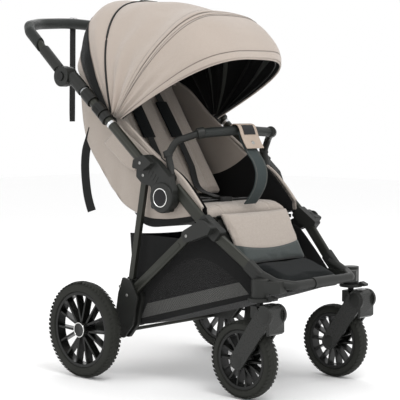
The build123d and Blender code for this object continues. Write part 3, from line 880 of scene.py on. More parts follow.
class STROLLER_OT_hub_covers(StrollerOperator):
    """Round covers over the fold hinges, with a chrome ring and a blank centre"""
    bl_idname = "stroller.hub_covers"
    bl_label = "Hub covers"

    def make(self):
        face = 229.1
        dish = [(face, 0.0), (face, 40.0), (face + 2.6, 40.0), (face + 4.6, 38.2), (face + 5.4, 35.5),
                (face + 5.4, 28.5), (face + 4.6, 26.5), (face + 4.6, 0.0)]
        ring = [(face + 4.4, 25.5), (face + 6.6, 25.2), (face + 7.2, 24.2), (face + 6.6, 22.8),
                (face + 4.4, 22.5)]
        blank = [(face + 4.4, 22.6), (face + 5.8, 21.8), (face + 6.4, 14.0), (face + 6.7, 0.0)]
        for part, outline, material, slot in (("plate", dish, "cast_plastic", "frame_plastic"),
                                              ("ring", ring, "chrome", "steel"),
                                              ("centre", blank, "badge_gloss", "frame_plastic")):
            bm = bmesh.new()
            for _, sign in SIDES:
                join_into(bm, turned([(x * MM, r * MM) for x, r in outline], HUB, sign, 72))
            piece("hub_cover_" + part, bm, material, slot, "seat_frame", crease=50)
        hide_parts("hub_covers")


# ---------------------------------------------------------------- wheels
REAR_AXLE = (117 * MM, 132 * MM)
FRONT_AXLE = (-379 * MM, 100 * MM)
FORK_PIVOT = (-466 * MM, 222 * MM)


class STROLLER_OT_wheels(StrollerOperator):
    """Rims, tyres with moulded tread and hub caps"""
    bl_idname = "stroller.wheels"
    bl_label = "Wheels"

    def make(self):
        for side, sign in SIDES:
            machined("rear_rim_" + side, "rim_plastic", "wheel_plastic", 0.6 * MM)
            machined("front_rim_" + side, "rim_plastic", "wheel_plastic", 0.6 * MM)
            self.tyre("rear_tyre_" + side, 286.5 * MM * sign, REAR_AXLE, 35 * MM, 103 * MM,
                      "rear_wheel_" + side, 64)
            self.tyre("front_tyre_" + side, 190 * MM * sign, FRONT_AXLE, 36 * MM, 76 * MM,
                      "front_wheel_" + side, 50)
            self.rear_cap(side, sign)
            self.front_caps(side, sign)

    def tyre(self, node, x, centre, width, seat, body, lugs):
        """A tyre that stands on the floor, so its radius is its axle's height."""
        radius = centre[1]
        h = width / 2
        depth = 0.8 * MM
        r = radius - depth
        side_wall = [(-h + 4 * MM, seat), (-h, seat + 3 * MM), (-h - 0.3 * MM, seat + 8 * MM),
                     (-h, r - 11 * MM), (-h + 2 * MM, r - 6 * MM), (-h + 6 * MM, r - 2 * MM),
                     (-h + 11 * MM, r)]
        outline = side_wall + [(-dx, rr) for dx, rr in reversed(side_wall)] + side_wall[:1]
        bm = turned([(x + dx, rr) for dx, rr in outline], centre, 1.0, 120)
        bmesh.ops.remove_doubles(bm, verts=bm.verts, dist=1e-6)
        bmesh.ops.recalc_face_normals(bm, faces=bm.faces)
        join_into(bm, self.tread(x, centre, radius, h, lugs, depth))
        piece(node + "_rubber", bm, "tyre_rubber", "tyre_rubber", body, [node], crease=40)

    def tread(self, x, centre, radius, h, lugs, depth):
        """Slanted lugs in two shoulder rows and a rib of short blocks down the middle."""
        pitch = 2 * math.pi / lugs
        arc = radius * pitch
        bm = bmesh.new()
        rows = ((-0.62, 0.46, 0.5, 0.0), (0.62, 0.46, -0.5, 0.5), (0.0, 0.30, 0.0, 0.25))
        for at, wide, slant, shift in rows:
            lug = bmesh.new()
            bmesh.ops.create_cube(lug, size=1.0)
            half = wide * h
            for vert in lug.verts:
                across = vert.co.x * 2 * half * 0.92
                along = vert.co.y * arc * 0.62 + across * slant
                lift = depth * 0.55 if vert.co.z > 0 else -depth * 1.2
                outer = max(0.0, abs(at * h + across) - 0.62 * h) ** 2 / (0.38 * h) ** 2 * 3.4 * MM
                top = centre[1] + radius - depth * 0.55 + lift - outer
                vert.co = (x + at * h + across, centre[0] + along, top)
            bmesh.ops.bevel(lug, geom=lug.edges[:], offset=0.45 * MM, affect="EDGES", segments=1, profile=0.5,
                            material=-1)
            bmesh.ops.recalc_face_normals(lug, faces=lug.faces)
            bmesh.ops.rotate(lug, verts=lug.verts, cent=(x, *centre),
                             matrix=Matrix.Rotation(shift * pitch, 3, "X"))
            bmesh.ops.spin(lug, geom=lug.verts[:] + lug.edges[:] + lug.faces[:], cent=(x, *centre),
                           axis=(1, 0, 0), angle=2 * math.pi, steps=lugs, use_duplicate=True, use_merge=False)
            join_into(bm, lug)
        return bm

    def rear_cap(self, side, sign):
        """The hub cap and its bright ring, on the outer end of the hub."""
        hub_end = 305.4
        cap = [(-2.0, 0.0), (-2.0, 21.5), (0.6, 21.5), (1.6, 20.4), (1.6, 17.6), (0.9, 17.0), (0.9, 0.0)]
        ring = [(1.2, 20.6), (2.2, 20.2), (2.4, 19.4), (2.2, 18.4), (1.2, 18.0)]
        for name, outline, material, slot in (("rear_cap_", cap, "cast_plastic", "wheel_plastic"),
                                              ("rear_cap_ring_", ring, "chrome", "steel")):
            made = turned([((hub_end + x) * MM, r * MM) for x, r in outline], REAR_AXLE, sign, 64)
            piece(name + side, made, material, slot, "rear_wheel_" + side, crease=50)

    def front_caps(self, side, sign):
        """Hub flanges each side of a front wheel, inside its fork."""
        bm = bmesh.new()
        for outward in (-1, 1):
            flange = [(19.0, 15.6), (19.8, 14.8), (20.2, 9.0), (20.6, 8.4), (20.6, 6.4)]
            outline = [((190 * sign + outward * x) * MM, r * MM) for x, r in flange]
            join_into(bm, turned(outline, FRONT_AXLE, 1.0, 48))
        piece("front_hub_flanges_" + side, bm, "rim_plastic", "wheel_plastic", "front_wheel_" + side)


class STROLLER_OT_casters(StrollerOperator):
    """Front forks with round pivot covers and a deep hood"""
    bl_idname = "stroller.casters"
    bl_label = "Casters"

    def make(self):
        for side, sign in SIDES:
            machined("caster_crown_" + side, "cast_plastic", "frame_plastic")
            machined("suspension_arm_" + side, "gloss_plastic", "frame_plastic", 1.4 * MM)
            bm = bmesh.new()
            for x, outward in ((221.0, sign), (159.0, -sign)):
                for centre, radius in ((FORK_PIVOT, 18.0), (FRONT_AXLE, 15.5)):
                    face = x * sign
                    cover = [(face - outward * 0.3, radius + 1.4), (face + outward * 1.2, radius),
                             (face + outward * 1.8, radius - 1.2), (face + outward * 1.8, 0.0)]
                    join_into(bm, turned([(a * MM, r * MM) for a, r in cover], centre, 1.0, 48))
            piece("fork_covers_" + side, bm, "cast_plastic", "frame_plastic", "fork_" + side, crease=50)


# ---------------------------------------------------------------- handle
class STROLLER_OT_handle(StrollerOperator):
    """Leatherette grip with its seam rings"""
    bl_idname = "stroller.handle"
    bl_label = "Handle"

    def make(self):
        machined("handle_grip", "grip_leather", "grip_leather", 1.4 * MM)
        bm = bmesh.new()
        for x in (-6.5, 6.5):
            rib = [(x - 0.9, 15.9), (x - 0.6, 16.6), (x + 0.6, 16.6), (x + 0.9, 15.9)]
            join_into(bm, turned([(at * MM, r * MM) for at, r in rib], (480 * MM, 995 * MM), 1.0, 40))
        piece("grip_seam_rings", bm, "trim_plastic", "grip_leather", "handle")


# ---------------------------------------------------------------- canopy
CANOPY_PIVOT = (82 * MM, 698 * MM)
CANOPY_FOOT = 20 * MM
REAR_EDGE, VENT_TOP, VENT_LOW, REAR_BOW, FRONT_BOW, VISOR_EDGE = 50.0, 30.0, 43.0, 13.0, -40.0, -64.0
LINING_INSET = 3.4 * MM
# each arch: degrees back from upright, reach and half width in millimetres, squareness
ARCHES = ((50, 303, 208, 3.2), (36, 346, 211, 3.2), (24, 373, 212, 3.0), (13, 349, 211, 2.6),
          (-6, 336, 212, 2.4), (-24, 342, 214, 2.6), (-40, 377, 214, 3.1), (-52, 389, 210, 3.3),
          (-64, 382, 199, 3.1))


def arch_shape(angle):
    """Reach and half width in metres and squareness of the canopy's arch at an angle back from upright."""
    for index, (low, high) in enumerate(zip(ARCHES, ARCHES[1:])):
        if angle >= high[0] or high is ARCHES[-1]:
            s = (low[0] - angle) / (low[0] - high[0])
            before = ARCHES[max(index - 1, 0)]
            after = ARCHES[min(index + 2, len(ARCHES) - 1)]
            row = []
            for k in (1, 2, 3):
                slope_in = (high[k] - before[k]) / 2
                slope_out = (after[k] - low[k]) / 2
                h = s * s * (3 - 2 * s)
                row.append(low[k] * (1 - h) + high[k] * h + slope_in * s * (1 - s) ** 2
                           - slope_out * s * s * (1 - s))
            return row[0] * MM, row[1] * MM, row[2]


def canopy_point(angle, turn, inset=0.0):
    """A point on the canopy: angle from upright, and turn from 0 at the left foot to 1 at the right one."""
    reach, half_w, square = arch_shape(angle)
    t = math.pi * turn
    across = math.copysign(abs(math.cos(t)) ** (2 / square), math.cos(t))
    up = CANOPY_FOOT + (reach - inset - CANOPY_FOOT) * abs(math.sin(t)) ** (2 / square)
    a = math.radians(angle)
    back, high = up * math.sin(a), up * math.cos(a)
    return Vector(((half_w - inset) * across, CANOPY_PIVOT[0] + back, CANOPY_PIVOT[1] + high))


def folds(angle, turn, low, high):
    """How far the cloth dips between two of its bows, in metres."""
    share = (angle - low) / (high - low)
    hold = math.sin(math.pi * max(0.0, min(1.0, share))) ** 0.7
    near_foot = math.exp(-((min(turn, 1 - turn) / 0.16) ** 2))
    fan = math.sin(share * math.pi * 5.0 + 1.3) * near_foot * 3.6 * MM
    dents = ripple((angle * 0.055, turn * 6.0, 0.0), 1.0, 4.0) * 13.0 * MM
    fine = ripple((angle * 0.12, turn * 19.0, 0.0), 1.0, 9.0) * 1.8 * MM
    return hold * (dents + fine + fan)


def even_turn(u):
    """Spread the grid's columns evenly along an arch, whose flat sides would else get too few."""
    return u - 0.035 * math.sin(4 * math.pi * u)


def canopy_sheet(name, high, low, rows, material, body, inset=0.0, turns=(0.0, 1.0), dip=None, columns=96,
                 thickness=None):
    """Part of the canopy between two angles as cloth, with its wall on the inside."""
    dip = dip or (low, high)
    start, end = canopy_point(high, 0.5), canopy_point(low, 0.5)
    width = 2.6 * arch_shape((high + low) / 2)[0]

    def place(u, v):
        angle = lerp(high, low, v)
        turn = lerp(turns[0], turns[1], even_turn(u))
        return canopy_point(angle, turn, inset + folds(angle, turn, *dip))

    bm = patch(columns, rows, place, (width, (end - start).length))
    middle = bm.faces[:][len(bm.faces) // 2]
    outward = middle.calc_center_median() - Vector((0, *CANOPY_PIVOT))
    face_towards(bm, outward)
    made = sheet(name, bm, material, "canopy_fabric", thickness, crease=60)
    if body:
        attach(made, body)
    return made


def fan_blend(made, body_a, body_b, high, low):
    """Bend between two bodies by the angle about the canopy pivot, as a fan opens."""
    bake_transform(made, body_a, body_b, start=canopy_point(high, 0.5), end=canopy_point(low, 0.5))
    weights = []
    for vert in made.data.vertices:
        across, up = vert.co.y - CANOPY_PIVOT[0], vert.co.z - CANOPY_PIVOT[1]
        angle = math.degrees(math.atan2(across, up))
        weights.append(max(0.0, min(1.0, (high - angle) / (high - low))))
    made.data.attributes["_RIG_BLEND"].data.foreach_set("value", weights)
    return made


def arch_line(angle, inset=0.0, count=28):
    return [tuple(canopy_point(angle, even_turn(i / count), inset)) for i in range(count + 1)]


class STROLLER_OT_canopy(StrollerOperator):
    """Canopy cloth over its bows, with piping, seams, vent, lining and visor"""
    bl_idname = "stroller.canopy"
    bl_label = "Canopy"

    def make(self):
        self.panels()
        self.lining()
        self.trim()

    def panels(self):
        rear = canopy_sheet("canopy_rear_cloth", REAR_EDGE, REAR_BOW, 34, "canopy_cloth", "seat_frame")
        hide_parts("canopy_rear")
        main = canopy_sheet("canopy_main_cloth", REAR_BOW, FRONT_BOW, 64, "canopy_cloth", None)
        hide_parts("canopy_main")
        fan_blend(main, "seat_frame", "canopy_front", REAR_BOW, FRONT_BOW)
        visor = canopy_sheet("canopy_visor_cloth", FRONT_BOW, VISOR_EDGE, 30, "canopy_cloth", None)
        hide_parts("canopy_visor")
        fan_blend(visor, "canopy_front", "canopy_edge", FRONT_BOW, VISOR_EDGE)

    def lining(self):
        canopy_sheet("canopy_rear_lining", REAR_EDGE, REAR_BOW, 18, "lining_cloth", "seat_frame",
                     LINING_INSET)
        main = canopy_sheet("canopy_main_lining", REAR_BOW, FRONT_BOW, 40, "lining_cloth", None, LINING_INSET)
        fan_blend(main, "seat_frame", "canopy_front", REAR_BOW, FRONT_BOW)
        visor = canopy_sheet("canopy_visor_lining", FRONT_BOW, VISOR_EDGE + 0.6, 20, "lining_cloth", None,
                             LINING_INSET)
        fan_blend(visor, "canopy_front", "canopy_edge", FRONT_BOW, VISOR_EDGE)

    def trim(self):
        rear, main, visor = (REAR_BOW, REAR_EDGE), (FRONT_BOW, REAR_BOW), (VISOR_EDGE, FRONT_BOW)
        vent = canopy_sheet("canopy_vent", VENT_LOW, VENT_TOP, 8, "black_twill", "seat_frame", -0.9 * MM,
                            dip=rear)
        piping = tube("canopy_piping", arch_line(REAR_BOW, -0.8 * MM), sizes().piping, "trim_plastic",
                      "canopy_fabric", 10, 4)
        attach(piping, "seat_frame")
        self.zip_pull()
        for name, high, low, dip in (("canopy_bow_casing", -34.6, -37.4, main),
                                     ("canopy_bow_binding", -38.4, -39.8, main),
                                     ("canopy_visor_hem", VISOR_EDGE + 3.2, VISOR_EDGE + 0.2, visor)):
            strip = canopy_sheet(name, high, low, 4, "canopy_cloth", None, -1.5 * MM, dip=dip,
                                 thickness=1.2 * MM)
            self.follow(strip, dip)
        seams = ((VENT_TOP - 0.5, rear), (VENT_LOW + 0.5, rear), (-34.4, main), (-37.9, main), (-41.2, visor),
                 (VISOR_EDGE + 3.5, visor))
        for index, (angle, dip) in enumerate(seams):
            line = [tuple(canopy_point(angle, turn, folds(angle, turn, *dip) - 0.5 * MM))
                    for turn in (even_turn(i / 40) for i in range(41))]
            # Cords along the seams, whose dark colour is painted seam shade.
            seam = tube(f"canopy_seam_{index + 1}", line, 0.9 * MM, "seam_thread", "canopy_fabric", 6, 3)
            self.follow(seam, dip)
        edge = tube("canopy_visor_edge", arch_line(VISOR_EDGE, 0.8 * MM), 2.1 * MM, "canopy_cloth",
                    "canopy_fabric", 8, 4)
        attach(edge, "canopy_edge")
        ribbons = ((-17.0, -21.0, main), (-50.0, -54.0, visor), (8.0, 5.0, main))
        for index, (high, low, dip) in enumerate(ribbons):
            ribbon = canopy_sheet(f"canopy_ribbon_{index + 1}", high, low, 4, "binding_cloth", None, 5.4 * MM,
                                  dip=dip, thickness=1.0 * MM)
            self.follow(ribbon, dip)

    def follow(self, made, dip):
        """Let a strip move as the panel between two bows does."""
        low, high = dip
        bodies = {REAR_BOW: "seat_frame", FRONT_BOW: "canopy_front", VISOR_EDGE: "canopy_edge"}
        if high == REAR_EDGE:
            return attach(made, "seat_frame")
        return fan_blend(made, bodies[high], bodies[low], high, low)

    def zip_pull(self):
        """The puller where the zip ends at the top of the canopy."""
        top = canopy_point(REAR_BOW, 0.47, -4 * MM)
        ahead = canopy_point(REAR_BOW, 0.52, -4 * MM)
        outward = (0, 0.23, 0.97)
        bm = box_along(top, ahead, 9 * MM, 4.6 * MM, outward, 1.2 * MM)
        join_into(bm, box_along(top + Vector((0, -7, 1)) * MM, ahead + Vector((0, -15, 0.5)) * MM, 6 * MM,
                                2.2 * MM, outward, 0.8 * MM))
        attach(piece("canopy_zip_pull", bm, "trim_plastic", "frame_plastic"), "seat_frame")


# ---------------------------------------------------------------- padded pieces
RECLINE_PIVOT = Vector((0, 0, 463 * MM))
BACK_TILT = math.radians(57.0)
LEGREST_PIVOT = Vector((0, -239 * MM, 452 * MM))


def inflate(made, cap, voxel=5 * MM, pressure=4.0, frames=20):
    """Blow a closed pad up as cloth, letting no point move further than cap, and smooth it once."""
    remesh = modifier(made, "REMESH", mode="VOXEL", voxel_size=voxel)
    remesh.use_smooth_shade = True
    made.data = settled(made)
    made.modifiers.clear()
    start = [vert.co.copy() for vert in made.data.vertices]
    simulated = modifier(made, "CLOTH")
    simulated.settings.use_pressure = True
    simulated.settings.uniform_pressure_force = pressure
    simulated.settings.effector_weights.gravity = 0.0
    simulated.settings.quality = 5
    scene = bpy.context.scene
    for step in range(1, frames + 1):
        scene.frame_set(step)
    made.data = settled(made)
    made.modifiers.clear()
    scene.frame_set(1)
    for vert, rest in zip(made.data.vertices, start):
        move = vert.co - rest
        if move.length > cap:
            vert.co = rest + move.normalized() * cap
    modifier(made, "SUBSURF", levels=1, render_levels=1)
    made.data = settled(made)
    made.modifiers.clear()
    made.data.polygons.foreach_set("use_smooth", [True] * len(made.data.polygons))


def settled(made):
    """The mesh as its modifiers leave it."""
    graph = bpy.context.evaluated_depsgraph_get()
    graph.update()
    return bpy.data.meshes.new_from_object(made.evaluated_get(graph), depsgraph=graph)


def pad(name, half_w, length, thick, place, material, slot, cap, pinch=0.0, shape=None):
    """A stuffed pad from a rounded block; place turns (across, along, out) into the frame."""
    bm = bmesh.new()
    bmesh.ops.create_cube(bm, size=1.0)
    bmesh.ops.subdivide_edges(bm, edges=bm.edges[:], cuts=15, use_grid_fill=True)
    for vert in bm.verts:
        across, along, out = vert.co.x * 2, vert.co.y * 2, vert.co.z * 2
        round_off = max(0.0, abs(across) ** 8 + abs(along) ** 8 - 0.9)
        out *= 1 - 0.45 * min(1.0, round_off)
        squeeze = 1 - 0.07 * abs(out) ** 3
        across *= (1 - pinch * (1 - along * along)) * squeeze
        along *= (1 - 0.5 * pinch * (1 - across * across)) * squeeze
        point = Vector((across * half_w, (along + 1) / 2 * length, out * thick / 2))
        vert.co = place(shape(point) if shape else point)
    made = piece(name, bm, material, slot)
    inflate(made, cap)
    return made


def finish_pad(made, body, nodes):
    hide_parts(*nodes)
    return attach(made, body)


def tilted(pivot, tilt, ahead, out):
    """A (y, z) point in a frame turned about X: ahead along it and out across it."""
    return Vector((0, pivot.y + ahead * math.cos(tilt) - out * math.sin(tilt),
                   pivot.z + ahead * math.sin(tilt) + out * math.cos(tilt)))


def press_seams(made, depth, rows):
    """Sink sewn channels; each row says how far a point is from its seam and its half width."""
    for vert in made.data.vertices:
        for distance, reach, direction in rows:
            gap = distance(vert.co)
            if abs(gap) < 3 * reach:
                vert.co -= direction * depth * math.exp(-(gap / reach) ** 2)


class STROLLER_OT_seat(StrollerOperator):
    """Seat cushion and quilted back"""
    bl_idname = "stroller.seat"
    bl_label = "Seat"

    def make(self):
        self.cushion()
        self.back()

    def cushion(self):
        front, back = -228 * MM, -18 * MM
        low, high = 445 * MM, 474 * MM

        def place(point):
            share = point.y / (back - front)
            drop = 9 * MM * max(0.0, 1 - share * 4) ** 2
            return Vector((point.x, front + point.y, (low + high) / 2 + point.z - drop))

        made = pad("seat_pad", 163 * MM, back - front, high - low, place, "seat_cloth", "seat_fabric",
                   6 * MM, pinch=0.02)
        up = Vector((0, 0, 1))
        notch = [(lambda co: math.hypot(co.x / 2.4, co.y + 230 * MM), 12 * MM, up),
                 (lambda co: co.x - 96 * MM if co.z > 460 * MM else 1.0, 3.5 * MM, up),
                 (lambda co: co.x + 96 * MM if co.z > 460 * MM else 1.0, 3.5 * MM, up)]
        press_seams(made, 3.2 * MM, notch)
        finish_pad(made, "seat_frame", ["seat_cushion"])

    def back(self):
        def shape(point):
            curl = 10 * MM * (abs(point.x) / (150 * MM)) ** 2.5
            return Vector((point.x, point.y, point.z + curl * (1 if point.z > 0 else 0.3)))

        def place(point):
            spot = tilted(RECLINE_PIVOT, BACK_TILT, 27 * MM + point.y, 2.5 * MM + point.z)
            return Vector((point.x, spot.y, spot.z))

        made = pad("back_pad", 150 * MM, 384 * MM, 18 * MM, place, "seat_cloth", "seat_fabric", 5 * MM,
                   pinch=0.01, shape=shape)
        out = Vector((0, -math.sin(BACK_TILT), math.cos(BACK_TILT)))
        rows = [(lambda co, x=x: co.x - x, 4.5 * MM, out) for x in (-98 * MM, -34 * MM, 34 * MM, 98 * MM)]
        press_seams(made, 4.2 * MM, rows)
        finish_pad(made, "backrest", ["back_cushion"])


class STROLLER_OT_leg_rest(StrollerOperator):
    """Two-tone leg rest and the footrest pillow"""
    bl_idname = "stroller.leg_rest"
    bl_label = "Leg rest"

    def make(self):
        self.calf_pad()
        self.foot_pad()

    def calf_pad(self):
        def shape(point):
            lean = point.y / (155 * MM)
            return Vector((point.x * lerp(1.0, 0.96, lean), point.y, point.z))

        made = pad("leg_rest_cover", 138 * MM, 155 * MM, 15 * MM, self.lay, "leg_rest_cloth", "seat_fabric",
                   5 * MM, pinch=0.01, shape=shape)
        normal = Vector((0, -math.cos(math.radians(29)), math.sin(math.radians(29))))

        def above_seam(co):
            return co.z - (LEG_SEAM_HEIGHT + LEG_SEAM_RISE * (co.x / LEG_SEAM_HALF) ** 2)

        press_seams(made, 1.6 * MM, [(above_seam, 3.0 * MM, normal)])
        finish_pad(made, "leg_rest", ["leg_rest_pad"])

    def lay(self, point):
        """Down the leg rest from its hinge; out is towards the child's calves."""
        slope = math.radians(61.0)
        ahead, out = point.y - 5 * MM, 9.2 * MM + point.z
        return Vector((point.x, LEGREST_PIVOT.y - ahead * math.cos(slope) - out * math.sin(slope),
                       LEGREST_PIVOT.z - ahead * math.sin(slope) + out * math.cos(slope)))

    def foot_pad(self):
        top = [(-326, 326), (-352, 328), (-402, 312), (-446, 296)]
        low = [(-330, 308), (-360, 296), (-398, 283), (-442, 279)]

        def place(point):
            share = point.y / (120 * MM)
            upper = curve_point([(0, y * MM, z * MM) for y, z in top], share)
            under = curve_point([(0, y * MM, z * MM) for y, z in low], share)
            spot = under.lerp(upper, point.z / (20 * MM) + 0.5)
            return Vector((point.x, spot.y, spot.z))

        made = pad("footrest_pillow", 114 * MM, 120 * MM, 20 * MM, place, "foot_cloth", "black_fabric",
                   6 * MM, pinch=0.01)
        finish_pad(made, "front_frame", ["footrest"])


# ---------------------------------------------------------------- seat shell
SIDE_FRONT = middle_line([(-236, 476), (-196, 520), (-150, 560), (-70, 604), (10, 660), (92, 722), (168, 788),
                          (228, 818)])
SIDE_BACK = middle_line([(-238, 452), (-190, 446), (-120, 438), (-34, 440), (58, 470), (112, 520), (160, 574),
                         (206, 636), (226, 700), (240, 812)])


def side_x(y, v):
    """How far out the side cloth stands: outside the seat's ears in front, closer in behind."""
    ear = 1 - smooth((y + 60 * MM) / (90 * MM))
    return lerp(187 * MM, 194.2 * MM, ear) + 2.5 * MM * math.sin(math.pi * v) * (1 - ear)


def recline_blend(made):
    """Let a piece stretch between the seat and the reclining back."""
    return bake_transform(made, "seat_frame", "backrest", start=(0, -20 * MM, 470 * MM),
                    end=(0, 150 * MM, 640 * MM))


class STROLLER_OT_seat_sides(StrollerOperator):
    """Side cloth, mesh insides, back cover and the wing flaps"""
    bl_idname = "stroller.seat_sides"
    bl_label = "Seat sides"

    def make(self):
        for side, sign in SIDES:
            self.outer(side, sign)
            self.inner(side, sign)
            self.wing(side, sign)
            self.rim(side, sign)
        self.back_cover()
        self.under_cover()
        self.flap()

    def outer(self, side, sign):
        def place(u, v):
            spot = between(SIDE_FRONT, SIDE_BACK, u, v)
            loose = smooth((spot.y + 20 * MM) / (80 * MM))
            wrinkle = 4.5 * MM * ripple((spot.y * 1.8, spot.z * 0.7, sign), 16.0, 2.0) * loose
            return Vector((sign * (side_x(spot.y, v) + wrinkle), spot.y, spot.z))

        bm = face_towards(patch(70, 30, place, (0.66, 0.2)), (sign, 0, 0))
        recline_blend(sheet("seat_side_cloth_" + side, bm, "side_cloth", "seat_fabric"))

    def inner(self, side, sign):
        def place(u, v):
            spot = between(SIDE_FRONT, SIDE_BACK, u, v)
            back = smooth(spot.y / (150 * MM))
            return Vector((sign * lerp(175 * MM, 181 * MM, back), spot.y, spot.z))

        bm = face_towards(patch(60, 24, place, (0.66, 0.2)), (-sign, 0, 0))
        made = sheet("seat_side_mesh_" + side, bm, "side_inside", "black_fabric", 1.4 * MM)
        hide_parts("seat_side_panels")
        recline_blend(made)

    def rim(self, side, sign):
        points = [Vector(p) for p in SIDE_FRONT]
        line = [(sign * (side_x(p.y, 0) - 3 * MM), p.y, p.z + 1 * MM) for p in points]
        recline_blend(tube("seat_side_binding_" + side, line, 4.2 * MM, "side_cloth", "seat_fabric", 10, 6))

    def wing(self, side, sign):
        """The loose flap that hangs from the canopy over the frame tube's bracket."""
        top = middle_line([(60, 690), (40, 672), (-10, 640), (-52, 612)])
        low = middle_line([(120, 640), (84, 612), (40, 580), (2, 566)])

        def place(u, v):
            spot = between(top, low, u, v)
            out = 203 * MM + 4 * MM * v + 1.6 * MM * ripple((spot.y, spot.z, 0.0), 20.0, 5.0)
            return Vector((sign * out, spot.y, spot.z))

        bm = face_towards(patch(24, 18, place, (0.13, 0.08)), (sign, 0, 0))
        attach(sheet("seat_wing_" + side, bm, "side_cloth", "seat_fabric"), "seat_frame")

    def back_cover(self):
        def place(u, v):
            spot = curve_point(SIDE_BACK, lerp(0.40, 1.0, v))
            across = 2 * u - 1
            bulge = 9 * MM * (1 - across ** 2) * math.sin(math.pi * v)
            fold = 3.0 * MM * ripple((across * 0.18, v * 0.3, 0.0), 14.0, 8.0)
            back = spot.y + bulge + fold * math.sin(math.pi * v)
            return Vector((across * 187 * MM, back, spot.z - 0.4 * bulge))

        bm = face_towards(patch(50, 44, place, (0.37, 0.42)), (0, 1, -0.3))
        recline_blend(sheet("seat_back_cover", bm, "side_cloth", "seat_fabric"))

    def under_cover(self):
        """The black band under the seat, from its front edge to below the backrest."""
        line = middle_line([(-236, 450), (-190, 437), (-120, 424), (-60, 417), (-20, 424), (6, 440)])
        top = middle_line([(-238, 462), (-190, 452), (-120, 442), (-60, 440), (-20, 444), (20, 452)])
        bm = bmesh.new()
        for _, sign in SIDES:
            def place(u, v, sign=sign):
                spot = between(line, top, u, v)
                return Vector((sign * (side_x(spot.y, 0) + 0.9 * MM), spot.y, spot.z))
            join_into(bm, face_towards(patch(30, 4, place, (0.24, 0.03)), (sign, 0, 0)))

        def across(u, v):
            spot = curve_point(line, u)
            return Vector((lerp(-194, 194, v) * MM, spot.y, spot.z - 2 * MM * math.sin(math.pi * v)))
        join_into(bm, face_towards(patch(30, 16, across, (0.24, 0.38)), (0, 0, -1)))
        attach(sheet("seat_under_cover", bm, "black_twill", "black_fabric"), "seat_frame")

    def flap(self):
        """Cloth that closes the gap between the canopy's rear edge and the top of the backrest."""
        def place(u, v):
            top = canopy_point(REAR_EDGE, lerp(0.06, 0.94, u), 1.5 * MM)
            low = Vector((lerp(186, -186, u) * MM, 240 * MM, 812 * MM))
            spot = top.lerp(low, v)
            sag = 6 * MM * math.sin(math.pi * v) + 2 * MM * ripple(spot, 16.0, 3.0) * math.sin(math.pi * v)
            return spot + Vector((0, -sag * 0.6, -sag * 0.4))

        bm = face_towards(patch(50, 16, place, (0.4, 0.1)), (0, 1, 0))
        made = sheet("canopy_back_flap", bm, "canopy_cloth", "canopy_fabric")
        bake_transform(made, "seat_frame", "backrest", start=(0, 300 * MM, 880 * MM), end=(0, 240 * MM, 812 * MM))


class STROLLER_OT_harness(StrollerOperator):
    """Shoulder straps with pads, lap straps and waist straps"""
    bl_idname = "stroller.harness"
    bl_label = "Harness"

    def make(self):
        for side, sign in SIDES:
            line = []
            for ahead, out in ((372, 24), (330, 27), (270, 28), (210, 28), (150, 27), (110, 26)):
                spot = tilted(RECLINE_PIVOT, BACK_TILT, ahead * MM, out * MM)
                line.append(((58 - 4 * (ahead - 110) / 260) * MM * sign, spot.y, spot.z))
            strap = band("shoulder_strap_" + side, line, (1, 0, 0), 25 * MM, "black_webbing", "webbing")
            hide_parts("shoulder_straps")
            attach(strap, "backrest")
            wide = band("shoulder_pad_" + side, line[1:4], (1, 0, 0), 44 * MM, "foot_cloth", "black_fabric",
                        7 * MM, columns=10, cup=-3 * MM)
            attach(wide, "backrest")
            low = tilted(RECLINE_PIVOT, BACK_TILT, 112 * MM, 26 * MM)
            down = [(line[-1][0], low.y, low.z)]
            down += millimetres([(50 * sign, 6, 512), (40 * sign, -60, 492), (24 * sign, -112, 488)])
            lap = band("harness_strap_" + side, down, (1, 0, 0), 25 * MM, "black_webbing", "webbing")
            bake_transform(lap, "seat_frame", "backrest", start=(0, -50 * MM, 490 * MM), end=(0, 25 * MM, 550 * MM))
            round_waist = millimetres([(24 * sign, -131, 486), (70 * sign, -126, 484),
                                       (120 * sign, -118, 484), (160 * sign, -108, 480)])
            waist = band("waist_strap_" + side, round_waist, (0, 1, 0), 25 * MM, "black_webbing", "webbing")
            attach(waist, "seat_frame")


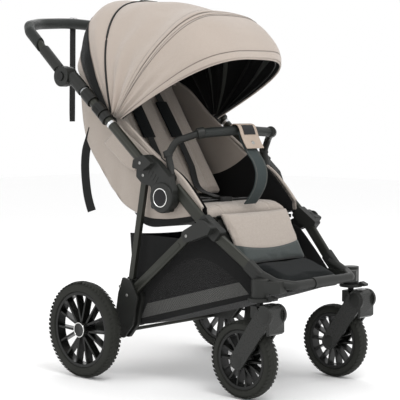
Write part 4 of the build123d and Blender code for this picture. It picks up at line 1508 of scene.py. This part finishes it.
# ---------------------------------------------------------------- bumper bar
class STROLLER_OT_bumper(StrollerOperator):
    """Leatherette bumper grip, its leather tab and the crotch strap"""
    bl_idname = "stroller.bumper"
    bl_label = "Bumper bar"

    def make(self):
        machined("bumper_grip", "grip_leather", "grip_leather", 1.2 * MM)
        self.collars()
        self.strap()
        self.tab()

    def collars(self):
        for side, sign in SIDES:
            bm = bmesh.new()
            for start, end, radius in (((136, -190, 670.5), (152, -180, 667), 15.0),
                                       ((196, -118, 606), (196, -112.5, 622), 12.0)):
                a, b = (Vector((x * sign, y, z)) * MM for x, y, z in (start, end))
                join_into(bm, round_bar(a, b, radius * MM, 40))
            made = piece("bumper_collars_" + side, bm, "cast_plastic", "frame_plastic")
            round_edges(made, 1.2 * MM, 3)
            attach(made, "bumper")

    def swing_blend(self, made):
        """Let the crotch strap stretch between the seat and the bumper bar."""
        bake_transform(made, "seat_frame", "bumper", start=(0, -240 * MM, 490 * MM), end=(0, -215 * MM, 650 * MM))

    def strap(self):
        line = middle_line([(-212, 672), (-221, 646), (-240, 618), (-263, 590), (-273, 560), (-267, 526),
                            (-248, 496), (-232, 478)])
        made = band("crotch_strap_band", line, (1, 0, 0), 49 * MM, "grey_strap", "black_fabric", 3.0 * MM,
                    columns=12)
        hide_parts("crotch_strap")
        self.swing_blend(made)
        for side, sign in SIDES:
            row = [(sign * 20.5 * MM, y - 1.7 * MM, z) for _, y, z in line]
            self.swing_blend(band("crotch_strap_stitching_" + side, row, (1, 0, 0), 1.0 * MM, "thread",
                                  "black_fabric", 0.5 * MM, columns=2))

    def tab(self):
        """The beige tab wrapped round the bar, with a blank dark label and a snap."""
        over = [(8 * MM, y, z) for _, y, z in middle_line([
            (-184, 668), (-183, 680), (-190, 690), (-200, 692), (-211, 688), (-218, 677), (-224, 662),
            (-233, 645), (-245, 627)])]
        made = band("bumper_tab", over, (1, 0, 0), 70 * MM, "tab_leather", "strap_leather", 2.4 * MM,
                    columns=10)
        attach(made, "bumper")
        front = millimetres([(8, -213, 689.4), (8, -220.4, 677), (8, -225.4, 664)])
        label = band("bumper_tab_label", front, (1, 0, 0), 46 * MM, "badge_gloss", "black_fabric", 1.2 * MM,
                     columns=8)
        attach(label, "bumper")
        bm = bmesh.new()
        bmesh.ops.create_cone(bm, cap_ends=True, segments=32, radius1=6.2 * MM, radius2=5.0 * MM,
                              depth=2.4 * MM)
        snap_turn = Vector((0, -1, 0.55)).to_track_quat("Z", "Y").to_matrix().to_4x4()
        at = Matrix.Translation((8 * MM, -236.6 * MM, 642 * MM))
        bmesh.ops.transform(bm, matrix=at @ snap_turn, verts=bm.verts)
        snap = piece("bumper_tab_snap", bm, "pin_steel", "steel")
        round_edges(snap, 0.7 * MM, 3)
        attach(snap, "bumper")


# ---------------------------------------------------------------- basket
BASKET_LOW = middle_line([(12, 176), (-2, 158), (-22, 150), (-110, 175), (-240, 212), (-398, 258)])
BASKET_TOP = middle_line([(30, 396), (-60, 394), (-150, 392), (-214, 398), (-250, 408), (-330, 352),
                          (-392, 300)])


def basket_x(y):
    if y > -60 * MM:
        return 197 * MM
    if y > -262 * MM:
        return lerp(197, 182, (-60 * MM - y) / (202 * MM)) * MM
    return lerp(182, 140, (-262 * MM - y) / (138 * MM)) * MM


class STROLLER_OT_basket(StrollerOperator):
    """Hanging basket of black cloth with net windows in its sides"""
    bl_idname = "stroller.basket"
    bl_label = "Basket"

    def make(self):
        pieces = [self.wall(side, sign) for side, sign in SIDES]
        pieces += [self.bottom(), self.back(), self.front()]
        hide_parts("basket")
        for made in pieces:
            modifier(made, "SOLIDIFY", thickness=1.4 * MM, offset=-1.0)
            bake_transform(made, "seat_frame", "front_frame", start=(0, -0.06, 0.34), end=(0, -0.38, 0.28))

    def wall(self, side, sign):
        def place(u, v):
            spot = between(BASKET_LOW, BASKET_TOP, u, v)
            loose = math.sin(math.pi * v) * math.sin(math.pi * u)
            sag = 4.0 * MM * loose + 2.6 * MM * loose * ripple((spot.y, spot.z, sign), 12.0, 6.0)
            return Vector((sign * (basket_x(spot.y) - 2 * MM + sag), spot.y, spot.z))

        bm = face_towards(patch(80, 40, place, (0.42, 0.2)), (sign, 0, 0))
        return piece("basket_side_" + side, bm, "basket_wall", "black_fabric")

    def bottom(self):
        def place(u, v):
            spot = curve_point(BASKET_LOW, u)
            across = 2 * v - 1
            sag = 7 * MM * (1 - across ** 2) * math.sin(math.pi * u)
            return Vector((across * (basket_x(spot.y) - 2 * MM), spot.y, spot.z - sag * 0.6))
        bm = face_towards(patch(40, 30, place, (0.42, 0.38)), (0, 0, -1))
        return piece("basket_bottom", bm, "black_twill", "black_fabric")

    def back(self):
        def place(u, v):
            across = 2 * u - 1
            y = lerp(12, 30, v) * MM
            sag = 5 * MM * (1 - across ** 2) * math.sin(math.pi * v)
            return Vector((across * 195 * MM, y + sag, lerp(176, 396 - 10 * (1 - across ** 2), v) * MM))
        bm = face_towards(patch(36, 24, place, (0.39, 0.22)), (0, 1, 0))
        return piece("basket_back", bm, "black_twill", "black_fabric")

    def front(self):
        def place(u, v):
            across = 2 * u - 1
            height = lerp(42, 14, smooth((1 - abs(across)) * 4))
            return Vector((across * 138 * MM, lerp(-398, -393, v) * MM, (258 + height * v) * MM))
        bm = face_towards(patch(36, 8, place, (0.28, 0.04)), (0, -1, 0))
        return piece("basket_front", bm, "black_twill", "black_fabric")


# ---------------------------------------------------------------- hanging straps
class STROLLER_OT_straps(StrollerOperator):
    """Wrist strap on the handle and recline strap behind the seat"""
    bl_idname = "stroller.straps"
    bl_label = "Straps"

    def make(self):
        for index, dy in enumerate((0.0, 3.0)):
            line = middle_line([(480 + dy, 978), (481 + dy, 930), (482 + dy, 860), (484 + dy, 790),
                                (485 + dy, 730), (486 + dy * 0.4, 696)])
            made = band(f"wrist_strap_{index + 1}", line, (1, 0, 0), 20 * MM, "black_webbing", "webbing",
                        1.3 * MM)
            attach(made, "handle")
            if index == 0:
                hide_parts("wrist_strap")
        line = [(-184 * MM, y, z) for _, y, z in middle_line([
            (192, 678), (206, 648), (219, 617), (224, 580), (223, 546), (219, 515), (214, 490), (206, 466),
            (197, 446)])]
        made = band("recline_strap_band", line, (0.55, -0.83, 0), 24 * MM, "black_webbing", "webbing",
                    1.6 * MM)
        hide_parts("recline_strap")
        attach(made, "seat_frame")


class STROLLER_PT_pieces(bpy.types.Panel):
    """Sizes, colours and the pieces in the order they are made"""
    bl_idname = "STROLLER_PT_pieces"
    bl_label = "Stroller"
    bl_space_type = "VIEW_3D"
    bl_region_type = "UI"
    bl_category = "Stroller"

    def draw(self, context):
        for group in (context.scene.stroller_sizes, context.scene.stroller_colours):
            box = self.layout.box()
            for key in group.__annotations__:
                box.prop(group, key)
        column = self.layout.column(align=True)
        for made in OPERATORS:
            column.operator(made.bl_idname)


OPERATORS = (STROLLER_OT_stage, STROLLER_OT_frame, STROLLER_OT_hub_covers, STROLLER_OT_wheels,
             STROLLER_OT_casters, STROLLER_OT_handle, STROLLER_OT_canopy, STROLLER_OT_seat,
             STROLLER_OT_leg_rest, STROLLER_OT_seat_sides, STROLLER_OT_harness, STROLLER_OT_bumper,
             STROLLER_OT_basket, STROLLER_OT_straps)
CLASSES = (StrollerSizes, StrollerColours, *OPERATORS, STROLLER_PT_pieces)


def register():
    for made in CLASSES:
        bpy.utils.register_class(made)
    bpy.types.Scene.stroller_sizes = PointerProperty(type=StrollerSizes)
    bpy.types.Scene.stroller_colours = PointerProperty(type=StrollerColours)


def unregister():
    del bpy.types.Scene.stroller_colours
    del bpy.types.Scene.stroller_sizes
    for made in reversed(CLASSES):
        bpy.utils.unregister_class(made)


def main():
    register()
    for made in OPERATORS:
        group, name = made.bl_idname.split(".")
        getattr(getattr(bpy.ops, group), name)()
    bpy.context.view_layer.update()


if __name__ == "__main__":
    main()
